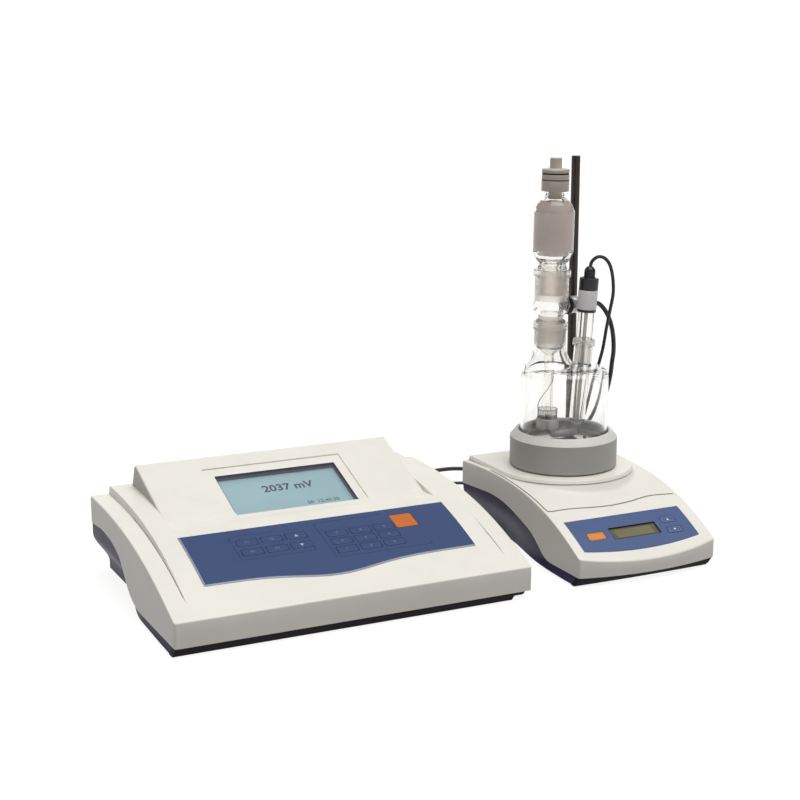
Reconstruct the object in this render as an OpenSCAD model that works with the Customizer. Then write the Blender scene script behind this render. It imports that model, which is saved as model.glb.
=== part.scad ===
// Coulometric automatic titrator: a keypad console, a magnetic stirrer with a glass
// cell standing in its collar, and the two electrode leads that join them.
// Millimetres, +Z up, +X along the fronts, +Y to the rear. Origin: middle of the
// footprint, on the bench.

/* [Console case] */
// Width of the console
console_w = 290; // [260:1:330]
// Depth of the console
console_d = 212; // [200:1:240]
// Wall thickness of both covers, measured straight down
wall = 2.6; // [2:0.1:3.5]
// Height of the white front lip above the bench
lip_z = 7; // [5:0.5:9]
// Height of the cover's front edge
front_z = 26.2; // [24:0.2:32]
// Height of the side rails at the rear
rail_z = 65; // [60:0.5:72]
// Height of the middle surface at the rear
middle_z = 71.2; // [68:0.2:78]
// Width of each lowered side rail
rail_w = 15.5; // [10:0.5:22]
// Radius of the case's upright corners
case_corner = 2.5; // [2:0.5:8]
// How far the base tucks in under the cover at the sides
tuck = 13; // [6:0.5:15]
// Height of the rubber feet
feet_h = 1.5; // [1:0.1:3]
// Floor and side thickness of both bases
base_wall = 3; // [2:0.2:4]

/* [Display] */
// Width of the raised display housing
housing_w = 222; // [190:1:230]
// Height of the housing's rear ridge
ridge_z = 90; // [84:0.5:100]
// Distance of the ridge from the console's front
ridge_y = 197.4; // [190:0.2:200]
// Distance of the housing's front edge from the console's front
housing_front = 100; // [98:1:106]
// Tilt of the display face
display_tilt = 20.4; // [18:0.2:22]
// Width of the liquid crystal window
window_w = 105; // [80:1:120]
// Length of the window down the slope
window_h = 55; // [40:1:56]
// Distance from the ridge to the window, down the slope
window_drop = 27; // [22:0.5:32]
// Thickness of the clear window
window_t = 1.5; // [1:0.1:2.5]
// Thickness of the display module
module_t = 7; // [5:0.5:10]

/* [Keypad] */
// Width of the blue keypad overlay
keypad_w = 222; // [200:1:232]
// Front and rear edge of the overlay
keypad_y = [33, 91.2];
// Depth of the wave in the overlay's front edge
wave_depth = 8.6; // [0:0.2:10]
// Thickness of the overlay
overlay_t = 0.4; // [0.3:0.1:0.8]
// Width of the silver trim along the left and the front
trim_w = 1.3; // [0.8:0.1:2]
// Width of one key
key_w = 17; // [12:0.5:17.5]
// Depth of one key, front to rear
key_h = 7.6; // [5:0.1:7.8]
// Side of the orange start key
start_key = 18.5; // [14:0.5:19]
// Travel of every key
key_travel = 0.8; // [0.4:0.1:0.9]
// Sideways clearance around every key
key_gap = 0.3; // [0.2:0.05:0.5]

/* [Stirrer case] */
// Width of the stirrer
stirrer_w = 131; // [122:1:150]
// Depth of the stirrer
stirrer_d = 198.5; // [192:0.5:220]
// Clear width between the console and the stirrer
unit_gap = 46.5; // [30:0.5:80]
// How far the stirrer stands behind the console's front line
stirrer_back = 6; // [0:0.5:12]
// Bow of the stirrer's front edge
front_bow = 9.3; // [2:0.1:14]
// Height of the platform that carries the cell collar
platform_z = 62.6; // [61:0.2:66]
// Half width of the platform
platform_rx = 60; // [56:0.5:61]
// Half depth of the platform's rounded front
platform_ry = 58; // [54:0.5:62]
// Distance of the cell's centre from the stirrer's front line
cell_y = 134; // [130:0.5:140]
// Diameter of the support rod
rod_d = 7.8; // [6:0.1:10]
// Height of the rod's top above the bench
rod_top = 325.5; // [280:0.5:360]

/* [Cell] */
// Outer radius of the collar
collar_r = 46.5; // [44:0.5:50]
// Height of the collar's top
collar_top = 94.4; // [92:0.2:100]
// Outer radius of the glass vessel
vessel_r = 37.8; // [36:0.1:39]
// Wall thickness of the glass
glass_t = 2; // [1.5:0.1:2.5]
// Height of the vessel's underside
vessel_z = 84; // [80:0.5:86]
// Height of the vessel's flat shoulder
shoulder_z = 150; // [147:0.5:156]
// Distance of the main neck from the cell's centre
main_neck_s = 13.5; // [12:0.1:14.5]
// Outer radius of the main neck
main_neck_r = 13.6; // [13:0.1:15]
// Distance of the electrode neck from the cell's centre
side_neck_s = 15.4; // [15.2:0.1:18]
// Lean of the detector electrode
detector_lean = 3.5; // [2:0.5:4]
// Lean of the generator and what stands on it
generator_lean = 0.8; // [0:0.1:1.5]
// Outer radius of the drying tube
drying_r = 17.25; // [16:0.25:18]
// Length of the stirring bar
bar_l = 26; // [16:1:30]
// Radius of the stirring bar
bar_r = 3; // [2.5:0.1:3]

/* [Leads] */
// Diameter of the generator's lead
generator_cable_d = 4; // [3:0.1:4.5]
// Diameter of the detector's lead
detector_cable_d = 3; // [2.5:0.1:3.5]

/* [Hidden] */
$fn = 64;
eps = 0.01;

ivory = [0.91, 0.9, 0.87];
navy = [0.2, 0.2, 0.32];
blue = [0.26, 0.35, 0.53];
orange = [0.86, 0.5, 0.18];
black = [0.07, 0.07, 0.08];
silver = [0.72, 0.73, 0.75];
grey = [0.5, 0.49, 0.47];
glass = [0.82, 0.88, 0.9, 0.4];
board_green = [0.1, 0.35, 0.2];

// ---------- places ----------
socket_proud = 6;
stirrer_x = console_w + unit_gap;
bench_w = stirrer_x + stirrer_w;
bench_front = min(0, stirrer_back - front_bow);
bench_rear = max(console_d + socket_proud, stirrer_back + stirrer_d);
mid_x = bench_w / 2;
mid_y = (bench_front + bench_rear) / 2;
cell_x = stirrer_w / 2;
cell_turn = -25.9;
floor_z = feet_h + base_wall;

module console_place() translate([-mid_x, -mid_y, 0]) children();
module stirrer_place() translate([stirrer_x - mid_x, stirrer_back - mid_y, 0]) children();
module cell_place() stirrer_place() translate([cell_x, cell_y, 0]) rotate([0, 0, cell_turn]) children();

// ---------- curves ----------
function bez(p, t) = pow(1 - t, 3) * p[0] + 3 * pow(1 - t, 2) * t * p[1]
  + 3 * (1 - t) * t * t * p[2] + pow(t, 3) * p[3];
function curve(p, n) = [for (i = [0:n]) bez(p, i / n)];
function reversed(a) = [for (i = [len(a) - 1:-1:0]) a[i]];
function smooth(t) = t <= 0 ? 0 : t >= 1 ? 1 : t * t * (3 - 2 * t);
function shifted(a, dz) = [for (q = a) [q[0], q[1] + dz]];
function between(a, y0, y1) = concat([[y0, lookup(y0, a)]],
  [for (q = a) if (q[0] > y0 && q[0] < y1) q], [[y1, lookup(y1, a)]]);

// extrudes a (y, z) outline from x0 to x1
module across(x0, x1, outline) translate([x0, 0, 0]) rotate([90, 0, 90])
  linear_extrude(x1 - x0) polygon(outline);

module rounded_rect(w, h, r) union() {
  translate([-w / 2 + r, -h / 2]) square([w - 2 * r, h]);
  translate([-w / 2, -h / 2 + r]) square([w, h - 2 * r]);
  for (x = [-1, 1], y = [-1, 1]) translate([x * (w / 2 - r), y * (h / 2 - r)]) circle(r);
}

// ---------- console profiles, (y, z) ----------
rail_top = curve([[0, front_z], [44, front_z + 17], [95, rail_z + 1.2], [console_d, rail_z]], 28);
middle_front = 8;
middle_top = curve([[middle_front, front_z + 3.2], [60, front_z + 23.4], [105, middle_z - 0.2],
  [console_d, middle_z]], 28);
sweep_y = 78;
sweep_end = 165;
console_edge = concat([[0, lip_z]],
  curve([[sweep_y, lip_z], [112, lip_z], [118, 24], [128, 32]], 10),
  [for (i = [1:8]) bez([[128, 32], [138, 41], [160, 45.5], [185, 45]], i / 8)],
  [[console_d, 42.6]]);
function middle_at(y) = lookup(y, middle_top);
function slope_at(y) = atan((middle_at(y + 2) - middle_at(y - 2)) / 4);
side_clear = 0.2;
housing_x0 = (console_w - housing_w) / 2;
housing_x1 = housing_x0 + housing_w;
housing_rear = console_d - wall;
face_end = 119;
face_drop = tan(display_tilt);
function face_z(y) = ridge_z - (ridge_y - y) * face_drop;
housing_line = [[housing_front, middle_at(housing_front)], [face_end, face_z(face_end)],
  [ridge_y, ridge_z], [ridge_y + 1.5, ridge_z - 0.8], [housing_rear - side_clear, middle_z - 0.3]];

module console_outline(grow = 0) translate([console_w / 2, console_d / 2])
  rounded_rect(console_w + 2 * grow, console_d + 2 * grow, case_corner);

module console_skin() intersection() {
  linear_extrude(middle_z + 5) console_outline();
  union() {
    across(0, console_w, concat(rail_top, reversed(console_edge)));
    across(rail_w, console_w - rail_w, concat([[middle_front, lip_z]], middle_top,
      reversed(between(console_edge, middle_front, console_d))));
  }
}

module console_hollow() union() {
  across(wall, console_w - wall, concat([[wall, -1]],
    shifted(between(rail_top, wall, console_d - wall), -wall), [[console_d - wall, -1]]));
  across(rail_w + wall, console_w - rail_w - wall, concat([[middle_front + wall, -1]],
    shifted(between(middle_top, middle_front + wall, console_d - wall), -wall),
    [[console_d - wall, -1]]));
}

console_posts = [[22, 22], [console_w - 22, 22], [22, console_d - 20], [console_w - 22, console_d - 20]];
stirrer_posts = [[12, 48], [stirrer_w - 12, 48], [18, stirrer_d - 16], [stirrer_w - 42, stirrer_d - 9]];
post_r = 4;
screw_r = 1.5;
screw_depth = 12;
screw_head_r = 3;
screw_head_h = 2;
post_gap = 0.1;
above = 100;

module posts(places) for (p = places) translate([p[0], p[1], floor_z + post_gap]) cylinder(r = post_r, h = above);
module post_holes(places) for (p = places) translate([p[0], p[1], 0])
  cylinder(r = screw_r, h = floor_z + screw_depth);

// ---------- keys: [x, y, width, depth] on the console's middle surface ----------
overlay_x0 = (console_w - keypad_w) / 2 + 1;
overlay_x1 = overlay_x0 + keypad_w;
key_pitch = 20;
first_column_in = 47.5;
group_gap = 15.5;
start_gap = 1.75;
left_x = [for (i = [0:2]) overlay_x0 + first_column_in + key_pitch * i];
left_y = [73, 61];
right_x = [for (i = [0:2]) left_x[2] + key_w + group_gap + key_pitch * i];
right_y = [69, 59, 49];
start_x = right_x[2] + (key_w + start_key) / 2 + start_gap;
left_keys = [for (y = left_y, x = left_x) [x, y, key_w, key_h]];
right_keys = [for (y = right_y, x = right_x) [x, y, key_w, key_h]];
start_place = [start_x, 73.3, start_key, start_key * 0.95];
all_keys = concat(left_keys, right_keys, [start_place]);
cap_proud = 0.9;
flange_top = wall + 0.3;
flange_t = 1;
flange_rim = 0.6;
key_stem_r = 2;
stem_l = 1.2;
stem_gap = 0.4;
key_corner = 1.2;
board_t = 1.6;
stem_end = flange_top + flange_t + stem_l;
board_drop = stem_end + key_travel + stem_gap + board_t;

// a cap with a retaining flange under the cover and a stem over the board
module cap_form(k) union() {
  translate([0, 0, -flange_top]) linear_extrude(flange_top + cap_proud) rounded_rect(k[2], k[3], key_corner);
  translate([0, 0, -flange_top - flange_t])
    linear_extrude(flange_t + eps) rounded_rect(k[2] + 2 * flange_rim, k[3] + 2 * flange_rim, key_corner);
  translate([0, 0, -stem_end]) cylinder(r = key_stem_r, h = stem_end - flange_top);
}
module cap_window(k) translate([0, 0, -flange_top]) linear_extrude(flange_top + 5)
  rounded_rect(k[2] + 2 * key_gap, k[3] + 2 * key_gap, key_corner + key_gap);
module key_frame(k) translate([k[0], k[1], middle_at(k[1])]) rotate([slope_at(k[1]), 0, 0]) children();

// the board lies in one plane under the curved key field
board_y0 = 40;
board_y1 = 86;
board_slope = atan((middle_at(board_y1) - middle_at(board_y0)) / (board_y1 - board_y0));
board_len = (board_y1 - board_y0) / cos(board_slope);
module board_frame() translate([0, board_y0, middle_at(board_y0)]) rotate([board_slope, 0, 0])
  translate([0, 0, -board_drop]) children();
board_left = 8;
board_right = 11.25;
board_x0 = left_x[0] - key_w / 2 - board_left;
board_x1 = start_x + start_key / 2 + board_right;
boss_r = 3;
boss_in = 3;
boss_x = [board_x0 + boss_in, (left_x[2] + right_x[0]) / 2, board_x1 - boss_in];
board_fix = [for (x = boss_x, y = [boss_in, board_len - boss_in]) [x, y]];

// ---------- keypad overlay ----------
wave_x = 138;
wave_w = 42;
function wave(x) = keypad_y[0] - wave_depth * exp(-pow((x - wave_x) / wave_w, 2));
function wavy(x0, x1, drop) = [for (i = [0:32]) let(x = x0 + (x1 - x0) * i / 32) [x, wave(x) - drop]];
module overlay_plan() polygon(concat([[overlay_x1, keypad_y[1]], [overlay_x0, keypad_y[1]]],
  wavy(overlay_x0, overlay_x1, 0)));
module trim_plan() difference() {
  polygon(concat([[overlay_x1, keypad_y[1]], [overlay_x0 - trim_w, keypad_y[1]]],
    wavy(overlay_x0 - trim_w, overlay_x1, trim_w)));
  overlay_plan();
}
// a skin of thickness t lying on a (y, z) line
skin_gap = 0.05;
module skin(line, y0, y1, w, t) translate([0, 0, skin_gap])
  across(0, w, concat(between(line, y0, y1), reversed(shifted(between(line, y0, y1), t))));

// ---------- console ----------
module console_cover() color(ivory) console_place() difference() {
  union() {
    difference() {
      console_skin();
      console_hollow();
    }
    intersection() {
      posts(console_posts);
      console_skin();
    }
    intersection() {
      board_frame() for (p = board_fix) translate([p[0], p[1], board_t]) cylinder(r = boss_r, h = board_drop);
      across(0, console_w, concat([[middle_front, 0]],
        shifted(between(middle_top, middle_front, console_d), -wall / 2), [[console_d, 0]]));
    }
  }
  translate([housing_x0 - side_clear, housing_front - side_clear, floor_z])
    cube([housing_w + 2 * side_clear, housing_rear - housing_front + side_clear, above]);
  for (k = all_keys) key_frame(k) cap_window(k);
  post_holes(console_posts);
}

module display_frame() translate([console_w / 2, ridge_y, ridge_z]) rotate([display_tilt, 0, 0]) children();
face_t = wall + 0.2;
groove = 0.8;
bezel_w = 121;
bezel_top = 17;
housing_foot = 51;
function under_face(y) = face_z(y) - face_t / cos(display_tilt);
module display_housing() color(ivory) console_place() difference() {
  across(housing_x0, housing_x1, concat([[housing_front, housing_foot]], housing_line,
    [[housing_rear - side_clear, housing_foot]]));
  across(housing_x0 + wall, housing_x1 - wall, [[housing_front + wall, housing_foot - 1],
    [housing_front + wall, under_face(face_end)], [face_end, under_face(face_end)],
    [ridge_y - wall, under_face(ridge_y - wall)], [housing_rear - side_clear - wall, middle_z - wall - 1],
    [housing_rear - side_clear - wall, housing_foot - 1]]);
  display_frame() {
    translate([-window_w / 2, -window_drop - window_h, -face_t - 3]) cube([window_w, window_h, 10]);
    translate([-bezel_w / 2, -bezel_top - groove, -groove]) cube([bezel_w, groove, 5]);
    for (x = [-bezel_w / 2, bezel_w / 2 - groove])
      translate([x, -window_drop - window_h + 0.5, -groove]) cube([groove, window_h + window_drop - bezel_top - 0.5, 5]);
  }
}
window_gap = 0.05;
window_rim = 3;
module_rim = 8;
low_rim = 0.5;
module display_window() color([0.6, 0.75, 0.8, 0.4]) console_place() display_frame()
  translate([-window_w / 2 - window_rim, -window_drop - window_h - low_rim, -face_t - window_gap - window_t])
    cube([window_w + 2 * window_rim, window_h + low_rim + window_rim, window_t]);
module lcd_module() color([0.55, 0.7, 0.74]) console_place() display_frame()
  translate([-window_w / 2 - module_rim, -window_drop - window_h - low_rim,
    -face_t - 2 * window_gap - window_t - module_t])
    cube([window_w + 2 * module_rim, window_h + low_rim + window_rim + 4, module_t]);
module keypad_overlay() color(blue) console_place() difference() {
  intersection() {
    skin(middle_top, keypad_y[0] - wave_depth - 4, keypad_y[1], console_w, overlay_t);
    linear_extrude(100) overlay_plan();
  }
  for (k = all_keys) key_frame(k) cap_window(k);
}
module keypad_trim() color(silver) console_place() intersection() {
  skin(middle_top, keypad_y[0] - wave_depth - 4, keypad_y[1], console_w, overlay_t);
  linear_extrude(100) trim_plan();
}
module key_board() color(board_green) console_place() board_frame() translate([board_x0, 0, 0])
  cube([board_x1 - board_x0, board_len, board_t]);
module key(n) color(blue * 1.15) console_place() key_frame(all_keys[n]) cap_form(all_keys[n]);
module start_key_cap() color(orange) console_place() key_frame(start_place) cap_form(start_place);

// The base's side wall is flush with the cover in front and tucks in towards the rear.
flare_low = 8;
flare_high = 34;
function side_in(y, z, y0, y1, amount) = amount * smooth((y - y0) / (y1 - y0))
  * (1 - smooth((z - flare_low) / (flare_high - flare_low)));
wall_steps = 8;
// one U section: up the left outside, down the left inside, and the same mirrored
function u_section(y, w, top, y0, y1, amount, x_in) =
  let(zs = [for (i = [0:wall_steps]) feet_h + (top - feet_h) * i / wall_steps],
      zi = [for (i = [0:wall_steps]) floor_z + (top - floor_z) * i / wall_steps],
      out = [for (z = zs) [x_in + side_in(y, z, y0, y1, amount), z]],
      inn = [for (z = reversed(zi)) [x_in + side_in(y, z, y0, y1, amount) + base_wall, z]],
      left = concat(out, inn))
  concat(left, [for (q = reversed(left)) [w - q[0], q[1]]]);
// the U's end faces: the two walls as strips, and the floor between them
function u_cap(n, w) = concat(
  [for (k = [0:w - 1]) for (f = [[k, k + 1, 2 * w - k], [k, 2 * w - k, 2 * w + 1 - k]]) f],
  [for (k = [0:w - 1]) for (f = [[k, k + 1, 2 * w - k], [k, 2 * w - k, 2 * w + 1 - k]])
    [n - 1 - f[0], n - 1 - f[2], n - 1 - f[1]]],
  [[0, 2 * w + 1, n - 2 * w - 2], [0, n - 2 * w - 2, n - 1]]);
module loft_y(ys, rings) {
  n = len(rings[0]);
  last = (len(ys) - 1) * n;
  pts = [for (i = [0:len(ys) - 1]) for (q = rings[i]) [q[0], ys[i], q[1]]];
  cap = u_cap(n, wall_steps);
  faces = concat(cap,
    [for (i = [0:len(ys) - 2], j = [0:n - 1]) let(a = i * n + j, b = i * n + (j + 1) % n)
      for (f = [[b, a, b + n], [b + n, a, a + n]]) f],
    [for (f = cap) [for (v = reversed(f)) v + last]]);
  polyhedron(points = pts, faces = faces, convexity = 8);
}
seam = 0.15;
base_in = 0.6;
console_ys = concat([for (i = [0:10]) base_in + 1 + (sweep_y - base_in - 1) * i / 10],
  [for (i = [1:16]) sweep_y + (console_d - 2 - sweep_y) * i / 16]);
standoff_h = 8;
board_w = 150;
main_x = 90;
main_y = 40;
main_d = 60;
standoffs = [for (x = [main_x + 5, main_x + board_w - 5], y = [main_y + 5, main_y + main_d - 5]) [x, y]];
module console_base() color(navy) console_place() difference() {
  union() {
    loft_y(console_ys, [for (y = console_ys) u_section(y, console_w, lookup(y, console_edge) - seam,
      sweep_y, sweep_end, tuck, base_in)]);
    translate([base_in, base_in, feet_h])
      cube([console_w - 2 * base_in, base_wall, lip_z - seam - feet_h]);
    for (p = standoffs) translate([p[0], p[1], floor_z - 1]) cylinder(r = 3, h = standoff_h + 1);
  }
  for (p = console_posts) translate([p[0], p[1], 0]) screw_hole();
}
module screw_hole() {
  cylinder(r = screw_r + 0.2, h = floor_z + 2);
  cylinder(r = screw_head_r + 0.3, h = feet_h + screw_head_h);
}
module main_board() color(board_green) console_place() union() {
  translate([main_x, main_y, floor_z + standoff_h]) cube([board_w, main_d, board_t]);
  translate([main_x + 50, main_y + 20, floor_z + standoff_h + board_t]) cube([24, 24, 3]);
  for (x = [15, 85, 120]) translate([main_x + x, main_y + 12, floor_z + standoff_h + board_t]) cube([12, 8, 2]);
}
supply_x = 40;
supply_y = 110;
module power_supply() color([0.3, 0.3, 0.33]) console_place() translate([supply_x, supply_y, floor_z]) union() {
  cube([54, 46, 3]);
  translate([4, 8, 3]) cube([46, 30, 34]);
  translate([12, 2, 9]) cube([30, 42, 22]);
}

// ---------- console rear ----------
panel_t = 1.6;
panel_y = console_d - 2 - panel_t - 0.4;
panel_top = 42;
inlet_x = 60;
inlet_z = 22;
switch_x = 98;
detector_x = console_w - 28;
generator_x = console_w - 54;
socket_z = 26;
socket_r = 6;
inlet_w = 27;
inlet_h = 19;
switch_w = 13;
switch_h = 20;
module rear_panel() color([0.16, 0.16, 0.2]) console_place() difference() {
  zs = [for (i = [0:8]) floor_z + (panel_top - floor_z) * i / 8];
  left = [for (z = zs) [base_in + side_in(panel_y, z, sweep_y, sweep_end, tuck) + base_wall + 0.3, z]];
  translate([0, panel_y + panel_t, 0]) rotate([90, 0, 0]) linear_extrude(panel_t)
    polygon(concat(left, [for (q = reversed(left)) [console_w - q[0], q[1]]]));
  translate([inlet_x - inlet_w / 2, panel_y - 5, inlet_z - inlet_h / 2]) cube([inlet_w, 10, inlet_h]);
  translate([switch_x - switch_w / 2, panel_y - 5, inlet_z - switch_h / 2]) cube([switch_w, 10, switch_h]);
  for (x = [detector_x, generator_x]) translate([x, panel_y - 5, socket_z]) rotate([-90, 0, 0])
    cylinder(r = socket_r, h = 10);
}
inlet_deep = 18;
module power_inlet() color(black) console_place() translate([inlet_x, panel_y + panel_t, inlet_z]) {
  difference() {
    union() {
      translate([-inlet_w / 2, -inlet_deep, -inlet_h / 2]) cube([inlet_w, inlet_deep, inlet_h]);
      translate([-inlet_w / 2 - 3, 0, -inlet_h / 2 - 2.5]) cube([inlet_w + 6, 2.5, inlet_h + 5]);
      translate([inlet_w / 2 + 3 - eps, 0, -switch_h / 2 - 2.5])
        cube([switch_x - inlet_x - inlet_w / 2 - 3 + eps + switch_w / 2 + 2.5, 2.5, switch_h + 5]);
      translate([switch_x - inlet_x - switch_w / 2, -10, -switch_h / 2]) cube([switch_w, 10, switch_h]);
    }
    translate([-inlet_w / 2 + 1.5, -inlet_deep + 2, -inlet_h / 2 + 1.5])
      cube([inlet_w - 3, inlet_deep + 5, inlet_h - 3]);
    translate([switch_x - inlet_x - switch_w / 2 + 1, -8.5, -switch_h / 2 + 0.8])
      cube([switch_w - 2, 20, switch_h - 1.6]);
  }
  for (p = [[0, 3], [-7, -3], [7, -3]]) translate([p[0] - 1, -inlet_deep + 1, p[1] - 2.5]) cube([2, 7, 5]);
}
rocker_tilt = 7;
rocker_y = -1.5;
rocker_w = switch_w - 2.8;
rocker_half = switch_h / 2 - 1.6;
rocker_pin_r = 1;
module power_switch() color(black) console_place()
  translate([switch_x, panel_y + panel_t + rocker_y, inlet_z]) rotate([rocker_tilt, 0, 0]) union() {
    across(-rocker_w / 2, rocker_w / 2, [[-3, -3], [-3, 3], [1, rocker_half], [5, rocker_half],
      [3.4, 0], [5, -rocker_half], [1, -rocker_half]]);
    rotate([0, 90, 0]) cylinder(r = rocker_pin_r, h = switch_w - 2.2, center = true);
  }
module lead_socket() rotate([-90, 0, 0]) rotate_extrude() polygon([[0, -8], [socket_r - 0.05, -8],
  [socket_r - 0.05, panel_t], [socket_r + 2, panel_t], [socket_r + 2, panel_t + 2],
  [socket_r - 0.6, panel_t + 2], [socket_r - 0.6, socket_tip], [4.4, socket_tip], [4.4, 2], [0, 2]]);
socket_tip = console_d + socket_proud - panel_y;
module detector_socket() color(silver) console_place() translate([detector_x, panel_y, socket_z]) lead_socket();
module generator_socket() color(silver) console_place() translate([generator_x, panel_y, socket_z]) lead_socket();

// ---------- stirrer profiles, (y, z) ----------
stirrer_front_z = 23;
front_slope = 0.53;
stirrer_top = concat([[-16, stirrer_front_z - 16 * front_slope]],
  curve([[0, stirrer_front_z], [42, 46], [85, 67], [stirrer_d, 57.5]], 28));
stirrer_sweep = 42;
stirrer_lip = 7.3;
stirrer_edge = concat([[-16, stirrer_lip]],
  curve([[stirrer_sweep, stirrer_lip], [62, stirrer_lip], [62, 22], [86, 28.5]], 10),
  [for (i = [1:8]) bez([[86, 28.5], [108, 36], [125, 41], [150, 40.4]], i / 8)], [[stirrer_d, 37.2]]);
bow_r = (pow(stirrer_w / 2, 2) + pow(front_bow, 2)) / (2 * front_bow);
module stirrer_outline(inset = 0) intersection() {
  translate([stirrer_w / 2, stirrer_d / 2 - 20]) rounded_rect(stirrer_w - 2 * inset, stirrer_d + 40 - 2 * inset, 3);
  translate([stirrer_w / 2, bow_r - front_bow]) circle(r = bow_r - inset, $fn = 180);
}
module stirrer_body(drop = 0) across(0, stirrer_w, concat(shifted(stirrer_top, -drop), reversed(stirrer_edge)));
module arch(grow) translate([cell_x, cell_y]) union() {
  intersection() {
    polygon([for (i = [0:48]) [(platform_rx + grow) * cos(180 + i * 3.75), (platform_ry + grow) * sin(180 + i * 3.75)]]);
    translate([-stirrer_w, -stirrer_d]) square([2 * stirrer_w, stirrer_d]);
  }
  translate([-platform_rx - grow, -eps]) square([2 * (platform_rx + grow), stirrer_d - cell_y - 3]);
}
skirt = 9;
module platform() intersection() {
  hull() {
    translate([0, 0, 48]) linear_extrude(1) arch(skirt);
    translate([0, 0, platform_z - 1]) linear_extrude(1) arch(0);
  }
  linear_extrude(100) stirrer_outline(2);
}
rod_x = 100.5;
rod_y = 180;
rod_r = rod_d / 2;
spigot_r = rod_r - 0.9;
spigot_gap = 0.05;
module stirrer_cover() color(ivory) stirrer_place() difference() {
  union() {
    intersection() {
      stirrer_body();
      linear_extrude(100) stirrer_outline();
    }
    platform();
  }
  difference() {
    intersection() {
      union() {
        across(0, stirrer_w, concat([[-16, -1]], shifted(stirrer_top, -wall), [[stirrer_d, -1]]));
        translate([0, 0, -wall]) platform();
      }
      translate([0, 0, -1]) linear_extrude(100) stirrer_outline(wall);
      translate([-1, -20, -1]) cube([stirrer_w + 2, stirrer_d + 20 - wall, above]);
    }
    posts(stirrer_posts);
    stirrer_bosses();
    translate([rod_x, rod_y, 48]) cylinder(r = 8, h = 30);
  }
  for (k = stirrer_keys) panel_frame(k) cap_window(k);
  lcd_cut(0.2);
  post_holes(stirrer_posts);
  translate([rod_x, rod_y, 0]) cylinder(r = spigot_r + spigot_gap, h = above);
}
// front panel
panel_slope = atan((lookup(30, stirrer_top) - lookup(6, stirrer_top)) / 24);
stirrer_keys = [[27.8, 19.1, 15.5, 8], [101, 25.4, 13.5, 6.5], [101, 14.4, 13.5, 6.5]];
lcd_place = [64.7, 19.2, 44.6, 13];
lcd_sunk = 0.8;
module panel_frame(k) translate([k[0], k[1], lookup(k[1], stirrer_top)]) rotate([panel_slope, 0, 0]) children();
module lcd_cut(grow) panel_frame(lcd_place) translate([-lcd_place[2] / 2 - grow, -lcd_place[3] / 2 - grow, -8])
  cube([lcd_place[2] + 2 * grow, lcd_place[3] + 2 * grow, 20]);
module small_board_frame() panel_frame([0, 20.5]) translate([0, 0, -board_drop]) children();
small_board = [14, -13, 104, 28];
small_fix = [[17, -10], [17, 12], [115, -10], [115, 12]];
module stirrer_bosses() small_board_frame() for (p = small_fix)
  translate([p[0], p[1], board_t]) cylinder(r = boss_r, h = board_drop);
panel_x0 = 8.6;
panel_x1 = 119.4;
panel_rear = 38.4;
panel_front = 6;
panel_bow = 5;
module panel_plan() polygon(concat([[panel_x1, panel_rear], [panel_x0, panel_rear]],
  [for (i = [0:24]) let(t = i / 24) [panel_x0 + (panel_x1 - panel_x0) * t, panel_front - panel_bow * 4 * t * (1 - t)]]));
module stirrer_overlay() color([0.35, 0.42, 0.58]) stirrer_place() difference() {
  intersection() {
    skin(stirrer_top, -2, panel_rear, stirrer_w, overlay_t);
    linear_extrude(100) panel_plan();
  }
  for (k = stirrer_keys) panel_frame(k) cap_window(k);
  lcd_cut(0);
}
module stirrer_lcd() color([0.42, 0.43, 0.3]) stirrer_place() panel_frame(lcd_place)
  translate([-lcd_place[2] / 2, -lcd_place[3] / 2, -board_drop + board_t])
    cube([lcd_place[2], lcd_place[3], board_drop - board_t - lcd_sunk]);
module stirrer_board() color(board_green) stirrer_place() small_board_frame()
  translate([small_board[0], small_board[1], 0]) cube([small_board[2], small_board[3], board_t]);
module stirrer_key(n) panel_frame(stirrer_keys[n]) cap_form(stirrer_keys[n]);
module stirrer_start_key() color(orange) stirrer_place() stirrer_key(0);
module stirrer_up_key() color([0.4, 0.47, 0.62]) stirrer_place() stirrer_key(1);
module stirrer_down_key() color([0.4, 0.47, 0.62]) stirrer_place() stirrer_key(2);

stirrer_in = 0.8;
stirrer_ys = concat([for (i = [0:8]) 1 + (stirrer_sweep - 1) * i / 8],
  [for (i = [1:18]) stirrer_sweep + (stirrer_d - 1.5 - stirrer_sweep) * i / 18]);
stirrer_tuck = 11;
stirrer_tuck_y = [54, 150];
motor_r = 18;
motor_h = 34;
shaft_r = 2;
module stirrer_base() color(navy) stirrer_place() difference() {
  union() {
    loft_y(stirrer_ys, [for (y = stirrer_ys) u_section(y, stirrer_w, lookup(y, stirrer_edge) - seam,
      stirrer_tuck_y[0], stirrer_tuck_y[1], stirrer_tuck, stirrer_in)]);
    intersection() {
      translate([0, -20, feet_h]) cube([stirrer_w, 21 + base_wall, stirrer_lip - seam - feet_h]);
      linear_extrude(20) stirrer_outline(stirrer_in);
    }
    translate([stirrer_in + stirrer_tuck, stirrer_d - 2 - base_wall, feet_h])
      cube([stirrer_w - 2 * (stirrer_in + stirrer_tuck), base_wall, lookup(stirrer_d, stirrer_edge) - seam - feet_h]);
    translate([rod_x, rod_y, floor_z - 1]) cylinder(r = 8, h = 20);
  }
  for (p = stirrer_posts) translate([p[0], p[1], 0]) screw_hole();
  translate([rod_x, rod_y, floor_z + 2]) cylinder(r = spigot_r + spigot_gap, h = 40);
}
module support_rod() color([0.2, 0.19, 0.18]) stirrer_place() translate([rod_x, rod_y, 0]) union() {
  translate([0, 0, floor_z + 2]) cylinder(r = spigot_r, h = platform_z - floor_z);
  translate([0, 0, platform_z]) cylinder(r = rod_r, h = rod_top - platform_z);
}
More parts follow.
